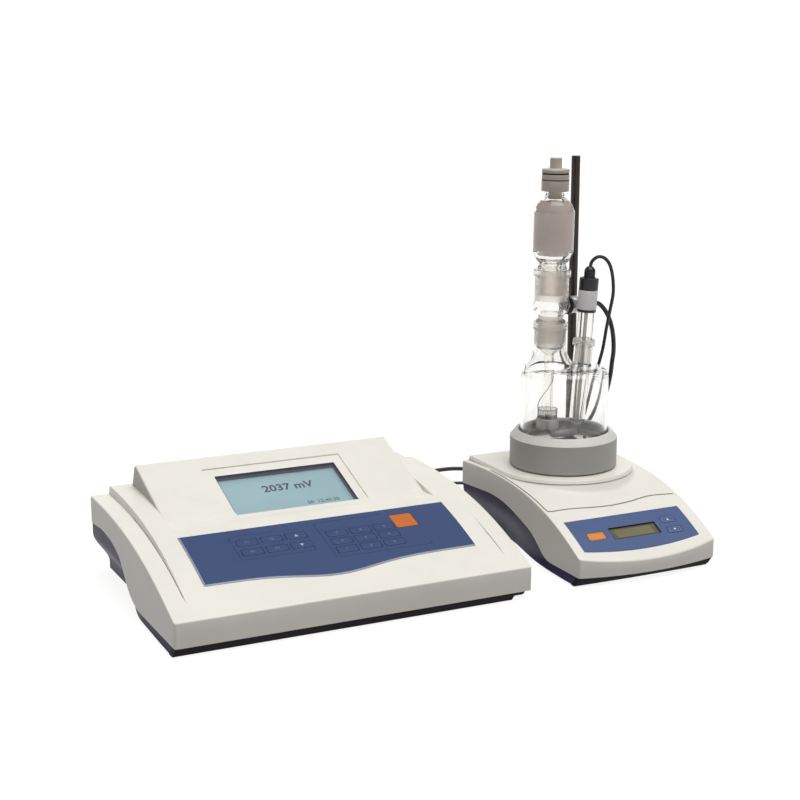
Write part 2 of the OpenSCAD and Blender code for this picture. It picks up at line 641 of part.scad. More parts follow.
module stir_motor() color(silver) stirrer_place() translate([cell_x, cell_y, floor_z]) difference() {
  union() {
    cylinder(r = motor_r + 6, h = 3);
    cylinder(r = motor_r, h = motor_h);
    cylinder(r = 6, h = motor_h + 3);
  }
  translate([0, 0, 10]) cylinder(r = shaft_r + 0.05, h = motor_h);
}
rotor_z = floor_z + motor_h + 5;
rotor_h = 9;
module magnet_rotor() color([0.35, 0.35, 0.37]) cell_place() union() {
  translate([0, 0, floor_z + 11]) cylinder(r = shaft_r, h = rotor_z - floor_z - 11 + 1);
  translate([0, 0, rotor_z]) cylinder(r = 8, h = 3);
  translate([-24, -7, rotor_z + 3 - eps]) cube([48, 14, rotor_h - 3]);
}
console_feet = [[16, 34], [console_w - 16, 34], [28, console_d - 10], [console_w - 28, console_d - 10]];
stirrer_feet = [[30, 16], [stirrer_w - 30, 16], [26, stirrer_d - 32], [stirrer_w - 22, stirrer_d - 32]];
foot_r = 6;
module feet_at(places) for (p = places) translate(p) cylinder(r = foot_r, h = feet_h);
module rubber_feet() color(black) {
  console_place() feet_at(console_feet);
  stirrer_place() feet_at(stirrer_feet);
}
module screw() {
  translate([0, 0, feet_h]) cylinder(r = screw_head_r, h = screw_head_h - eps);
  translate([0, 0, feet_h]) cylinder(r = screw_r - 0.05, h = 13);
}
module case_screws() color(silver) {
  console_place() for (p = console_posts) translate([p[0], p[1], 0]) screw();
  stirrer_place() for (p = stirrer_posts) translate([p[0], p[1], 0]) screw();
}

// ---------- collar and glass ----------
seat_gap = 0.3;
module cell_collar() color(grey) cell_place() rotate_extrude($fn = 96) polygon([
  [collar_r - 8, platform_z], [collar_r - 2, platform_z], [collar_r - 2, platform_z + 1], [collar_r, platform_z + 1.6],
  [collar_r, collar_top - 6.1], [vessel_r + 3, collar_top], [vessel_r + 1, collar_top - 0.4],
  [vessel_r + seat_gap, collar_top - 2.5], [vessel_r + seat_gap, vessel_z], [0, vessel_z],
  [0, vessel_z - 4], [collar_r - 8, vessel_z - 4]]);

// frames of the two leaning columns; z stays the height above the bench near the pivot
pivot_z = 165;
module main_axis() translate([-main_neck_s, 0, pivot_z]) rotate([0, generator_lean, 0])
  translate([0, 0, -pivot_z]) children();
module side_axis() translate([side_neck_s, 0, pivot_z]) rotate([0, detector_lean, 0])
  translate([0, 0, -pivot_z]) children();
neck_top = 188;
side_top = 173;
side_r = 8;
tube_r = 6.85;
module vessel_form(t) rotate_extrude($fn = 96) polygon(concat(
  [[0, vessel_z + t * 1.4], [vessel_r - 5, vessel_z + t * 1.4], [vessel_r - 2 - t * 0.7, vessel_z + 2 + t * 0.9],
   [vessel_r - t, vessel_z + 6]],
  [for (i = [0:8]) [vessel_r - 10 + (10 - t) * cos(i * 11.25), shoulder_z - 10 + (10 - t) * sin(i * 11.25)]],
  [[0, shoulder_z - t]]));
// the main neck's line, bell-mouthed into the shoulder, d inside its outer face
neck_wall = 2.4;
bell = [[10, -6], [8, 0.5], [3.6, 6.5], [1.2, 12], [0, 20]];
function neck_line(d) = concat([[0, shoulder_z + bell[0][1]]],
  [for (q = bell) [main_neck_r + q[0] - d, shoulder_z + q[1] - d / 4]]);
module cell_vessel() color(glass) cell_place() difference() {
  union() {
    vessel_form(0);
    main_axis() rotate_extrude($fn = 96) polygon(concat(neck_line(0), [[main_neck_r, neck_top - 7],
      [main_neck_r + 1, neck_top - 6], [main_neck_r + 1, neck_top], [0, neck_top]]));
    side_axis() rotate_extrude() polygon([[0, shoulder_z - 6], [side_r + 1.5, shoulder_z - 3],
      [side_r, shoulder_z + 2], [side_r, side_top - 6], [side_r + 1.5, side_top - 5], [side_r + 1.5, side_top],
      [0, side_top]]);
  }
  vessel_form(glass_t);
  main_axis() rotate_extrude($fn = 96) polygon(concat(neck_line(neck_wall), [[neck_bore, neck_top + 1],
    [0, neck_top + 1]]));
  side_axis() translate([0, 0, shoulder_z - 16]) cylinder(r = tube_r + 0.25, h = 60);
}
neck_bore = main_neck_r - neck_wall;
bar_gap = 0.3;
module stir_bar() color("white") cell_place() translate([0, 0, vessel_z + glass_t * 1.4 + bar_gap + bar_r])
  rotate([0, 90, 20]) union() {
    translate([0, 0, -bar_l / 2 + bar_r]) cylinder(r = bar_r, h = bar_l - 2 * bar_r);
    for (z = [-1, 1]) translate([0, 0, z * (bar_l / 2 - bar_r)]) sphere(r = bar_r);
    cylinder(r = bar_r + 0.25, h = 2, center = true);
  }
cup_z = 94.6;
cup_r = 9.8;
cup_h = 9;
stem_r = 4.2;
socket_z0 = 207;
generator_top = 233.5;
socket_bore = 11.2;
socket_r0 = 14.5;
cone_z = 166;
cone_gap = 0.15;
bulb_r = 15.7;
// outside and inside lines of the generator's glass, [radius, z]
module generator_body() color(glass) cell_place() main_axis() {
  difference() {
    union() {
      rotate_extrude() polygon([[0, cup_z + cup_h], [stem_r, cup_z + cup_h], [stem_r, cone_z - 6],
        [neck_bore - cone_gap, cone_z], [neck_bore - cone_gap, neck_top + 0.2], [13.6, neck_top + 1],
        [11, neck_top + 3], [11, neck_top + 6], [bulb_r - 2.2, arm_z - 5.5], [bulb_r - 0.5, arm_z - 2.5],
        [bulb_r, arm_z + 0.5], [bulb_r - 0.5, arm_z + 3.5], [socket_r0, socket_z0], [socket_r0, generator_top - 6.5],
        [socket_r0 + 1.5, generator_top - 5.5], [socket_r0 + 1.5, generator_top], [0, generator_top]]);
      rotate([0, 0, arm_turn]) translate([0, 0, arm_z]) rotate([0, 90, 0]) cylinder(r = 5.5, h = arm_start);
    }
    rotate_extrude() polygon([[0, cup_z + cup_h - 1], [stem_r - 1.2, cup_z + cup_h - 1], [stem_r - 1.2, cone_z - 5],
      [neck_bore - 2, cone_z + 1], [neck_bore - 2, arm_z - 5.5], [12, arm_z - 1.5], [12, arm_z + 2.5],
      [socket_bore, socket_z0], [socket_bore, generator_top + 1], [0, generator_top + 1]]);
  }
  difference() {
    translate([0, 0, cup_z]) cylinder(r = cup_r, h = cup_h + eps);
    translate([0, 0, cup_z - 1]) cylinder(r = cup_r - 1.5, h = cup_h - 1);
  }
}
arm_turn = 32;
arm_z = 201.5;
arm_start = 16.5;
mesh_h = 8;
mesh_gap = 0.2;
wire_r = 0.6;
module generator_cathode() color([0.45, 0.43, 0.4]) cell_place() main_axis() union() {
  translate([0, 0, cup_z + cup_h + mesh_gap]) difference() {
    cylinder(r = cup_r - 1, h = mesh_h);
    translate([0, 0, -1]) cylinder(r = stem_r + mesh_gap, h = mesh_h + 2);
  }
  translate([-cup_r + 2.2, 0, cup_z + cup_h + mesh_gap]) cylinder(r = wire_r, h = 34, $fn = 16);
}
module generator_connector() color(silver) cell_place() main_axis() rotate([0, 0, arm_turn])
  translate([arm_start, 0, arm_z]) rotate([0, 90, 0]) union() {
    cylinder(r = 8.2, h = 2);
    translate([0, 0, 2]) cylinder(r = 7.4, h = 9);
    translate([0, 0, 11]) cylinder(r = 5.4, h = 11);
    translate([0, 0, 22]) cylinder(r1 = 4.6, r2 = 3, h = relief_l);
  }
relief_l = 9;
joint_gap = 0.3;
tube_z0 = 212;
drying_neck = 7.5;
drying_waist_h = 8.5;
drying_body_h = 41;
drying_crown_h = 21;
drying_foot = generator_top + drying_waist_h;
drying_shoulder = drying_foot + drying_body_h;
drying_top = drying_shoulder + drying_crown_h;
glass_wall = 1.6;
module drying_tube() color(glass) cell_place() main_axis() rotate_extrude() difference() {
  polygon([[0, tube_z0], [socket_bore - joint_gap, tube_z0], [socket_bore - joint_gap, generator_top + 0.3],
    [12.5, generator_top + 0.3], [12.5, generator_top + 2.5], [11, generator_top + 4.5],
    [drying_r - 3, drying_foot], [drying_r, drying_foot + 7], [drying_r, drying_shoulder],
    [drying_r - 2.5, drying_shoulder + 6], [drying_neck + 1.5, drying_top - 9], [drying_neck, drying_top - 6],
    [drying_neck, drying_top], [0, drying_top]]);
  polygon([[0, tube_z0 - 1], [7, tube_z0 - 1], [7, drying_foot - 3], [drying_r - 4.5, drying_foot + 2],
    [drying_r - glass_wall, drying_foot + 8], [drying_r - glass_wall, drying_shoulder - 0.5],
    [drying_r - 4, drying_shoulder + 5], [drying_neck - 1.5, drying_top - 9], [drying_neck - 1.5, drying_top + 1],
    [0, drying_top + 1]]);
}
module desiccant() color([0.6, 0.57, 0.56]) cell_place() main_axis()
  translate([0, 0, drying_foot + 8]) cylinder(r = drying_r - glass_wall - 0.1, h = drying_shoulder - drying_foot - 9);
plug_r = drying_neck - 1.8;
cap_r = 11.75;
knob_r = 5.1;
module stopper() color([0.62, 0.61, 0.58]) cell_place() main_axis() translate([0, 0, drying_top]) rotate_extrude()
  polygon([[0, -11], [plug_r, -11], [plug_r, 0.3], [drying_neck + 0.3, 0.3], [drying_neck + 0.3, -4], [cap_r, -4],
    [cap_r, 5], [cap_r - 0.35, 5.4], [cap_r, 5.8], [cap_r, 9.8], [cap_r - 0.75, 10.2], [cap_r - 0.75, 11.2],
    [cap_r, 11.6], [cap_r, 14], [cap_r - 0.75, 14.8], [knob_r, 15.2], [knob_r, 23.4], [knob_r - 0.5, 24], [0, 24]]);
head_z = 197;
ball_z = 104;
tube_foot = ball_z - tube_r + 0.4;
module detector_tube() color(glass) cell_place() side_axis() union() {
  translate([0, 0, ball_z]) cylinder(r = tube_r, h = head_z - ball_z);
  translate([0, 0, ball_z]) sphere(r = tube_r);
}
module detector_pins() color([0.8, 0.8, 0.78]) cell_place() side_axis()
  for (x = [-3, 3]) translate([x, 0, tube_foot - 3.5]) cylinder(r = 0.5, h = 3.5, $fn = 16);
head_top = 236;
module detector_head() color(black) cell_place() side_axis() rotate_extrude() polygon([
  [0, head_z], [8.3, head_z], [8.3, head_z + 17], [7.75, head_z + 17.5], [7.75, head_top - 10], [5, head_top - 9.4],
  [4.6, head_top - 4], [2.6, head_top],
  [0, head_top]]);

// ---------- leads ----------
generator_route = [[203.8, 43.6, 200.9], [209, 44.2, 199], [214, 44.2, 194.5], [218.5, 43.8, 187.5], [222, 43.5, 178.5],
  [224.5, 44, 168], [226.5, 46, 156], [227.5, 49.5, 144], [229, 54, 131], [229.5, 60.5, 115], [228, 70, 97],
  [225, 80.5, 82], [221.5, 90, 71], [219, 98.5, 62.5], [217, 107.5, 48], [215, 114.5, 31], [213.5, 122, 16],
  [212.5, 130.5, 6], [211.5, 138.5, 2.7], [211, 147, 2.1], [210.5, 160, 2], [209.5, 182, 2], [207, 206, 2],
  [202, 229, 2], [193, 247, 2], [179, 257, 2], [162, 258.5, 2], [140, 255.5, 2], [116, 246.5, 2], [92, 232.5, 2],
  [69, 215.5, 2], [47, 199, 2], [28, 186, 2.6], [14, 176.5, 7], [6, 167, 15], [2.5, 155.5, 23], [2, 142.6, 26]];
detector_route = [[186, 24, 236], [187.5, 23.5, 240.5], [192, 22, 244], [197.5, 20.5, 243], [202, 19.5, 238],
  [205, 19.5, 230.5], [207, 20, 221], [208.5, 22, 210.5], [209, 26.5, 197], [210, 33, 180], [211, 39.5, 160],
  [211.5, 47, 143], [212, 56, 120], [212, 65, 98], [212, 75, 81], [211, 85, 70], [209, 94.5, 66], [207, 103, 55],
  [205, 110, 38], [202.5, 117, 20], [200, 124, 8.5], [198, 131, 3.4], [196, 139, 1.8], [194, 147, 1.5],
  [190, 160, 1.5], [184, 177, 1.5], [175, 194, 1.5], [162, 207.5, 1.5], [144, 212.5, 1.5], [122, 209.5, 1.5],
  [100, 200.5, 1.5], [79, 189.5, 1.5], [60, 179, 2], [45, 170.5, 6], [34.5, 162.5, 14], [29.5, 153.5, 22.5],
  [28.25, 142.6, 26]];
function unit(v) = v / norm(v);
function on_spline(p, i, t) = let(n = len(p), a = p[max(i - 1, 0)], b = p[i], c = p[min(i + 1, n - 1)],
    d = p[min(i + 2, n - 1)])
  0.5 * (2 * b + (c - a) * t + (2 * a - 5 * b + 4 * c - d) * t * t + (3 * b - a - 3 * c + d) * t * t * t);
function rings_on(p, n) = [for (k = [0:n - 1]) let(q = (len(p) - 1) * k / (n - 1), i = min(floor(q), len(p) - 2))
  on_spline(p, i, q - i)];
function heading(p, i) = unit(p[min(i + 1, len(p) - 1)] - p[max(i - 1, 0)]);
function sides_of(p, i, n) = i >= len(p) ? [] : let(t = heading(p, i), m = unit(n - (n * t) * t))
  concat([m], sides_of(p, i + 1, m));
module tube(route, r, rings = 40, sides = 8) {
  p = rings_on(route, rings);
  across_dir = sides_of(p, 0, [0.3, 1, 0.2]);
  pts = [for (i = [0:rings - 1], j = [0:sides - 1]) let(t = heading(p, i), m = across_dir[i], a = 360 * j / sides)
    p[i] + r * (cos(a) * m + sin(a) * cross(t, m))];
  polyhedron(points = pts, faces = concat([[for (j = [0:sides - 1]) j]],
    [for (i = [0:rings - 2], j = [0:sides - 1]) [i * sides + j, (i + 1) * sides + j,
      (i + 1) * sides + (j + 1) % sides, i * sides + (j + 1) % sides]],
    [[for (j = [0:sides - 1]) (rings - 1) * sides + sides - 1 - j]]), convexity = 10);
}
module generator_cable() color(black) tube(generator_route, generator_cable_d / 2);
module detector_cable() color(black) tube(detector_route, detector_cable_d / 2);
plug_r0 = 7.2;
plug_l = 24;
plug_front = panel_y + panel_t + 2.3;
plug_end = 250;
module lead_plug(x, lead_d) console_place() translate([x, plug_front, socket_z]) rotate([-90, 0, 0]) difference() {
  union() {
    cylinder(r = plug_r0, h = plug_l);
    translate([0, 0, plug_l]) cylinder(r1 = 5, r2 = lead_d / 2 + 0.6, h = plug_end - plug_front - plug_l);
  }
  translate([0, 0, -1]) cylinder(r = socket_r - 0.4, h = console_d + socket_proud - plug_front + 1.3);
}
module generator_plug() color(black) lead_plug(generator_x, generator_cable_d);
module detector_plug() color(silver) lead_plug(detector_x, detector_cable_d);

console_base();
console_cover();
display_housing();
display_window();
lcd_module();
keypad_overlay();
keypad_trim();
key_board();
main_board();
power_supply();
rear_panel();
power_inlet();
power_switch();
detector_socket();
generator_socket();
key(0);  // key_left_1
key(1);  // key_left_2
key(2);  // key_left_3
key(3);  // key_left_4
key(4);  // key_left_5
key(5);  // key_left_6
key(6);  // key_right_1
key(7);  // key_right_2
key(8);  // key_right_3
key(9);  // key_right_4
key(10);  // key_right_5
key(11);  // key_right_6
key(12);  // key_right_7
key(13);  // key_right_8
key(14);  // key_right_9
start_key_cap();
rubber_feet();
case_screws();
stirrer_base();
stirrer_cover();
stirrer_overlay();
stirrer_lcd();
stirrer_board();
stirrer_start_key();
stirrer_up_key();
stirrer_down_key();
stir_motor();
magnet_rotor();
cell_collar();
support_rod();
cell_vessel();
stir_bar();
generator_body();
generator_cathode();
generator_connector();
drying_tube();
desiccant();
stopper();
detector_tube();
detector_pins();
detector_head();
generator_cable();
generator_plug();
detector_cable();
detector_plug();
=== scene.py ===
"""Looks of the coulometric titrator: console, stirrer, glass cell and leads.

Lengths are millimetres in the frame of the case they belong to, and turn into metres in the row
frame through console(), stirrer() and cell().
"""
import math

import bmesh
import bpy
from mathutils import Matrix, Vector


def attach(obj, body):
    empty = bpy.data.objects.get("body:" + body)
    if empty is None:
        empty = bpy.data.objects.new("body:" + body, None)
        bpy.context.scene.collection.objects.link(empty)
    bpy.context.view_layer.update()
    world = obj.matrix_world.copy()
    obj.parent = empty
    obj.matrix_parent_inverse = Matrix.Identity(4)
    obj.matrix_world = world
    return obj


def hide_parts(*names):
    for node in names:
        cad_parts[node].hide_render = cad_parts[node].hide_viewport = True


MM = 0.001
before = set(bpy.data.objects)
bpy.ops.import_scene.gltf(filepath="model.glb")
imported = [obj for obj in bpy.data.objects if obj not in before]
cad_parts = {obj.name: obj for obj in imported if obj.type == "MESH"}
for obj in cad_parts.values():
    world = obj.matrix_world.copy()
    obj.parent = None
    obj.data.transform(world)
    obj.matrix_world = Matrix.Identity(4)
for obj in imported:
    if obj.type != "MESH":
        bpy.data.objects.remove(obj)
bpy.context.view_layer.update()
scene = bpy.context.scene

# ---- frames
MID_X, MID_Y = 233.75, 107.35
STIRRER_X, STIRRER_Y = 336.5, 6.0
CELL_X, CELL_Y = 65.5, 134.0
CELL_TURN = math.radians(-25.9)
PIVOT_Z = 165.0
MAIN_NECK, MAIN_LEAN = -13.5, math.radians(0.8)
SIDE_NECK, SIDE_LEAN = 15.4, math.radians(3.5)


def row(p):
    """A point of the row frame, from millimetres."""
    return Vector(p) * MM


def console(p):
    return Vector((p[0] - MID_X, p[1] - MID_Y, p[2])) * MM


def stirrer(p):
    return console((p[0] + STIRRER_X, p[1] + STIRRER_Y, p[2]))


def cell(p):
    c, s = math.cos(CELL_TURN), math.sin(CELL_TURN)
    return stirrer((CELL_X + c * p[0] - s * p[1], CELL_Y + s * p[0] + c * p[1], p[2]))


def leaning(offset, lean):
    """The place of a column that leans from the cell's axis: z stays the height near its pivot."""
    c, s = math.cos(lean), math.sin(lean)

    def place(p):
        x, z = p[0], p[2] - PIVOT_Z
        return cell((offset + c * x + s * z, p[1], PIVOT_Z - s * x + c * z))

    return place


main_axis = leaning(MAIN_NECK, MAIN_LEAN)
side_axis = leaning(SIDE_NECK, SIDE_LEAN)


# ---- curves
def lerp(a, b, t):
    return a + (b - a) * t


def smooth(t):
    t = min(1.0, max(0.0, t))
    return t * t * (3 - 2 * t)


def bezier(p, n=60):
    pts = []
    for i in range(n + 1):
        t = i / n
        w = ((1 - t) ** 3, 3 * (1 - t) ** 2 * t, 3 * (1 - t) * t * t, t ** 3)
        pts.append(tuple(sum(w[k] * p[k][a] for k in range(4)) for a in range(2)))
    return pts


def lookup(x, table):
    if x <= table[0][0]:
        return table[0][1]
    for a, b in zip(table, table[1:]):
        if x <= b[0]:
            return lerp(a[1], b[1], (x - a[0]) / (b[0] - a[0]))
    return table[-1][1]


def stations(*marks):
    """Numbers from mark to mark, where each later mark is (end, step)."""
    out = [marks[0]]
    for end, step in marks[1:]:
        n = max(1, round((end - out[-1]) / step))
        start = out[-1]
        out += [lerp(start, end, (i + 1) / n) for i in range(n)]
    return out


def filleted(points, radius, steps=4, closed=True):
    """A polyline with its corners rounded to at most that radius."""
    out, n = [], len(points)
    for i, p in enumerate(points):
        if not closed and i in (0, n - 1):
            out.append(p)
            continue
        a, b = Vector(points[i - 1]), Vector(points[(i + 1) % n])
        v = Vector(p)
        da, db = a - v, b - v
        if da.length < 1e-6 or db.length < 1e-6 or p[0] < 1e-6:
            out.append(p)
            continue
        turn = da.angle(db)
        if turn > math.radians(165):
            out.append(p)
            continue
        cut = min(radius / math.tan(turn / 2), 0.45 * da.length, 0.45 * db.length)
        s, e = v + da.normalized() * cut, v + db.normalized() * cut
        for k in range(steps + 1):
            t = k / steps
            out.append(tuple((1 - t) ** 2 * s + 2 * t * (1 - t) * v + t * t * e))
    return out


# ---- mesh helpers
def added(name, data):
    """A new object in the scene."""
    obj = bpy.data.objects.new(name, data)
    scene.collection.objects.link(obj)
    return obj


def piece(name, verts, faces, material, body="instrument", place=row, smooth_deg=40, replaces=(), slot=None,
          face_materials=None, outward=True):
    """A new mesh piece, placed, shaded and riding on its body."""
    mesh = bpy.data.meshes.new(name)
    mesh.from_pydata([place(v) for v in verts], [], faces)
    mesh.validate()
    for m in material if isinstance(material, (list, tuple)) else [material]:
        mesh.materials.append(m)
    if face_materials:
        mesh.polygons.foreach_set("material_index", face_materials)
    if outward:
        bm = bmesh.new()
        bm.from_mesh(mesh)
        bmesh.ops.recalc_face_normals(bm, faces=bm.faces)
        bm.to_mesh(mesh)
        bm.free()
    mesh.shade_smooth()
    mesh.set_sharp_from_angle(angle=math.radians(smooth_deg))
    obj = added(name, mesh)
    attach(obj, body)
    if replaces:
        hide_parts(*replaces)
    return obj


def keep(node, mat):
    """A CAD node left showing, with a finished material."""
    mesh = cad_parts[node].data
    mesh.materials.clear()
    mesh.materials.append(mat)


def rings_to_mesh(rings, cap_start=True, cap_end=True):
    """Closed rings of equal length, joined in order."""
    n = len(rings[0])
    verts = [v for r in rings for v in r]
    faces = []
    for i in range(len(rings) - 1):
        for j in range(n):
            a, b = i * n + j, i * n + (j + 1) % n
            faces.append((a, b, b + n, a + n))
    if cap_start:
        faces.append(tuple(reversed(range(n))))
    if cap_end:
        last = (len(rings) - 1) * n
        faces.append(tuple(range(last, last + n)))
    return verts, faces


def circle(r, z, count, shift=0.0):
    """Points round the z axis, turned on by a share of a step."""
    turns = [2 * math.pi * (k + shift) / count for k in range(count)]
    return [(r * math.cos(a), r * math.sin(a), z) for a in turns]


def lathe(profile, segments, zones):
    """A closed (radius, z) outline turned about z.

    zones are (z0, z1, r0, index): faces at those heights and past that radius take that material.
    """
    verts, faces, index, start = [], [], [], []
    for r, z in profile:
        start.append(len(verts))
        verts += [(0, 0, z)] if r < 1e-6 else circle(r, z, segments)
    n = len(profile)
    for i in range(n):
        j = (i + 1) % n
        (r0, z0), (r1, z1) = profile[i], profile[j]
        if r0 < 1e-6 and r1 < 1e-6:
            continue
        kind = 0
        for za, zb, ra, m in zones:
            if za <= (z0 + z1) / 2 <= zb and (r0 + r1) / 2 >= ra:
                kind = m
        for k in range(segments):
            l = (k + 1) % segments
            a, b = start[i], start[j]
            if r0 < 1e-6:
                faces.append((a, b + l, b + k))
            elif r1 < 1e-6:
                faces.append((a + k, a + l, b))
            else:
                faces.append((a + k, a + l, b + l, b + k))
            index.append(kind)
    return verts, faces, index


def turned(name, profile, material, place, radius, zones=(), segments=96, **kw):
    """A piece turned from an outline whose corners are rounded."""
    verts, faces, index = lathe(filleted(profile, radius), segments, zones)
    return piece(name, verts, faces, material, place=place, face_materials=index, **kw)


def sleeve(r0, r1, z0, z1):
    """The outline of a ring for turned(), or of a disc where r0 is 0."""
    return [(r0, z0), (r1, z0), (r1, z1), (r0, z1)]


def rounded_rect(w, h, r, steps=6):
    pts = []
    for cx, cy, a0 in ((w / 2 - r, h / 2 - r, 0), (-w / 2 + r, h / 2 - r, 90), (-w / 2 + r, -h / 2 + r, 180),
                       (w / 2 - r, -h / 2 + r, 270)):
        for k in range(steps + 1):
            a = math.radians(a0 + 90 * k / steps)
            pts.append((cx + r * math.cos(a), cy + r * math.sin(a)))
    return pts


def pad(w, h, r, z0, z1, edge, crown):
    """Rings of a rounded rectangle with softened upper edges and a slightly crowned top."""
    rings = [[(x, y, z0) for x, y in rounded_rect(w, h, r)]]
    for k in range(5):
        a = math.radians(90 * k / 4)
        inset = edge * (1 - math.cos(a))
        rings.append([(x, y, z1 - edge + edge * math.sin(a)) for x, y in
                      rounded_rect(w - 2 * inset, h - 2 * inset, max(0.2, r - inset))])
    for t in (0.25, 0.55, 0.8):
        m = min(w, h) / 2 * t
        rings.append([(x, y, z1 + crown * smooth(t)) for x, y in
                      rounded_rect(w - 2 * edge - 2 * m, h - 2 * edge - 2 * m, max(0.1, r - edge - m * 0.3))])
    return rings_to_mesh(rings)


def ribbon(path, width, height, lift=0.0):
    """A low bead along a plan path, as rings of (x, y, extra height)."""
    rings = []
    for i, p in enumerate(path):
        a = Vector(path[max(i - 1, 0)])
        b = Vector(path[min(i + 1, len(path) - 1)])
        d = (b - a).normalized()
        side = Vector((-d.y, d.x))
        ring = []
        for s, h in ((-0.5, 0), (-0.38, 0.75), (-0.18, 1), (0.18, 1), (0.38, 0.75), (0.5, 0)):
            q = Vector(p) + side * s * width
            ring.append((q.x, q.y, lift + h * height))
        rings.append(ring)
    return rings_to_mesh(rings)


def densify(path, step):
    out = [path[0]]
    for a, b in zip(path, path[1:]):
        n = max(1, round((Vector(b) - Vector(a)).length / step))
        out += [tuple(Vector(a).lerp(Vector(b), (k + 1) / n)) for k in range(n)]
    return out


def bead(name, path, width, height, lift, mat, **kw):
    """A ribbon as a piece."""
    verts, faces = ribbon(path, width, height, lift)
    return piece(name, verts, faces, mat, **kw)


def slab(name, outline, heights, mat, **kw):
    """A piece with one (x, y) outline from height to height."""
    verts, faces = rings_to_mesh([[(x, y, z) for x, y in outline] for z in heights])
    return piece(name, verts, faces, mat, **kw)


def thin_wall(name, outline, heights, thickness, mat, place):
    """An upright wall that follows an outline, such as the side of a display's recess."""
    rings = [[(x, y, z) for x, y in outline] for z in heights]
    verts, faces = rings_to_mesh(rings, cap_start=False, cap_end=False)
    wall = piece(name, verts, faces, mat, place=place, slot="black_plastic", outward=False)
    mod = wall.modifiers.new("thick", "SOLIDIFY")
    mod.thickness = thickness * MM
    mod.offset = 0


def inside(x, y, box):
    """True within a rectangle (x0, x1, y0, y1)."""
    return box[0] < x < box[1] and box[2] < y < box[3]


def grid_faces(xs, ys, hole=None, first=0):
    """Quads between vertices kept line by line, with a rectangle left open."""
    nx, faces = len(xs), []
    for j in range(len(ys) - 1):
        for i in range(nx - 1):
            if hole and inside((xs[i] + xs[i + 1]) / 2, (ys[j] + ys[j + 1]) / 2, hole):
                continue
            a = first + j * nx + i
            faces.append((a, a + 1, a + 1 + nx, a + nx))
    return faces


def grid_border(nx, ny):
    """The outer vertices of such a grid, in order round it."""
    return (list(range(nx)) + [j * nx + nx - 1 for j in range(1, ny)]
            + [(ny - 1) * nx + i for i in range(nx - 2, -1, -1)] + [j * nx for j in range(ny - 2, 0, -1)])


def band(first, second):
    """Quads between two closed loops of vertices."""
    n = len(first)
    return [(first[k], second[k], second[(k + 1) % n], first[(k + 1) % n]) for k in range(n)]


def fallen(d, radius):
    """How far a rounded edge lies below its surface, at the distance d from its end."""
    return radius - math.sqrt(max(0.0, radius ** 2 - (radius - d) ** 2)) if d < radius else 0.0


# ---- frames on the surfaces
def tilted(x, y, z, angle, case):
    """The frame of a face that is tilted about x, with z off the face."""
    c, s = math.cos(angle), math.sin(angle)
    return lambda p: case((x + p[0], y + c * p[1] - s * p[2], z + s * p[1] + c * p[2]))


def over(surface, case):
    """The frame of a plan point with a height over a surface."""
    return lambda p: case((p[0], p[1], surface(p[0], p[1]) + p[2]))


# ---- materials
def material(name, build):
    m = bpy.data.materials.new(name)
    m.use_nodes = True
    nodes, links = m.node_tree.nodes, m.node_tree.links
    build(nodes, links, nodes["Principled BSDF"])
    return m


def settle(node, **values):
    """Sets a node's inputs, named with underscores for spaces."""
    for key, value in values.items():
        node.inputs[key.replace("_", " ")].default_value = value


def noise(nodes, links, scale, **values):
    """A noise texture in object coordinates."""
    coords = nodes.get("coords") or nodes.new("ShaderNodeTexCoord")
    coords.name = "coords"
    node = nodes.new("ShaderNodeTexNoise")
    links.new(coords.outputs["Object"], node.inputs["Vector"])
    settle(node, Scale=scale, **values)
    return node.outputs[0]


def ramp(nodes, links, source, stops):
    """Colours by the source's value, as (value, colour) stops."""
    node = nodes.new("ShaderNodeValToRGB")
    links.new(source, node.inputs[0])
    elements = node.color_ramp.elements
    while len(elements) < len(stops):
        elements.new(0.5)
    for element, (at, colour) in zip(elements, stops):
        element.position = at
        element.color = (*colour, 1)
    return node.outputs[0]


def spread(nodes, links, source, low, high, socket):
    """Lays the source's 0 to 1 out between two values and feeds a socket with it."""
    node = nodes.new("ShaderNodeMapRange")
    links.new(source, node.inputs[0])
    node.inputs[3].default_value = low
    node.inputs[4].default_value = high
    links.new(node.outputs[0], socket)


def bumped(nodes, links, shader, height, strength, distance):
    bump = nodes.new("ShaderNodeBump")
    settle(bump, Strength=strength, Distance=distance)
    links.new(height, bump.inputs["Height"])
    links.new(bump.outputs[0], shader.inputs["Normal"])


def plastic(name, colour, roughness=0.42, grain=1400, depth=0.00004, clouding=0.03, specular=0.5, clear=0.0):
    """Moulded plastic: fine grain, faint clouding of the colour and uneven gloss."""
    def build(nodes, links, shader):
        cloud = noise(nodes, links, 22, Detail=4, Roughness=0.6)
        dark = tuple(c * (1 - clouding) for c in colour)
        light = tuple(c * (1 + clouding) for c in colour)
        links.new(ramp(nodes, links, cloud, [(0.3, dark), (0.7, light)]), shader.inputs["Base Color"])
        gloss = noise(nodes, links, 90, Detail=3)
        spread(nodes, links, gloss, roughness - 0.05, roughness + 0.06, shader.inputs["Roughness"])
        settle(shader, Specular_IOR_Level=specular, Transmission_Weight=clear)
        bumped(nodes, links, shader, noise(nodes, links, grain, Detail=2), 0.35, depth)
    return material(name, build)


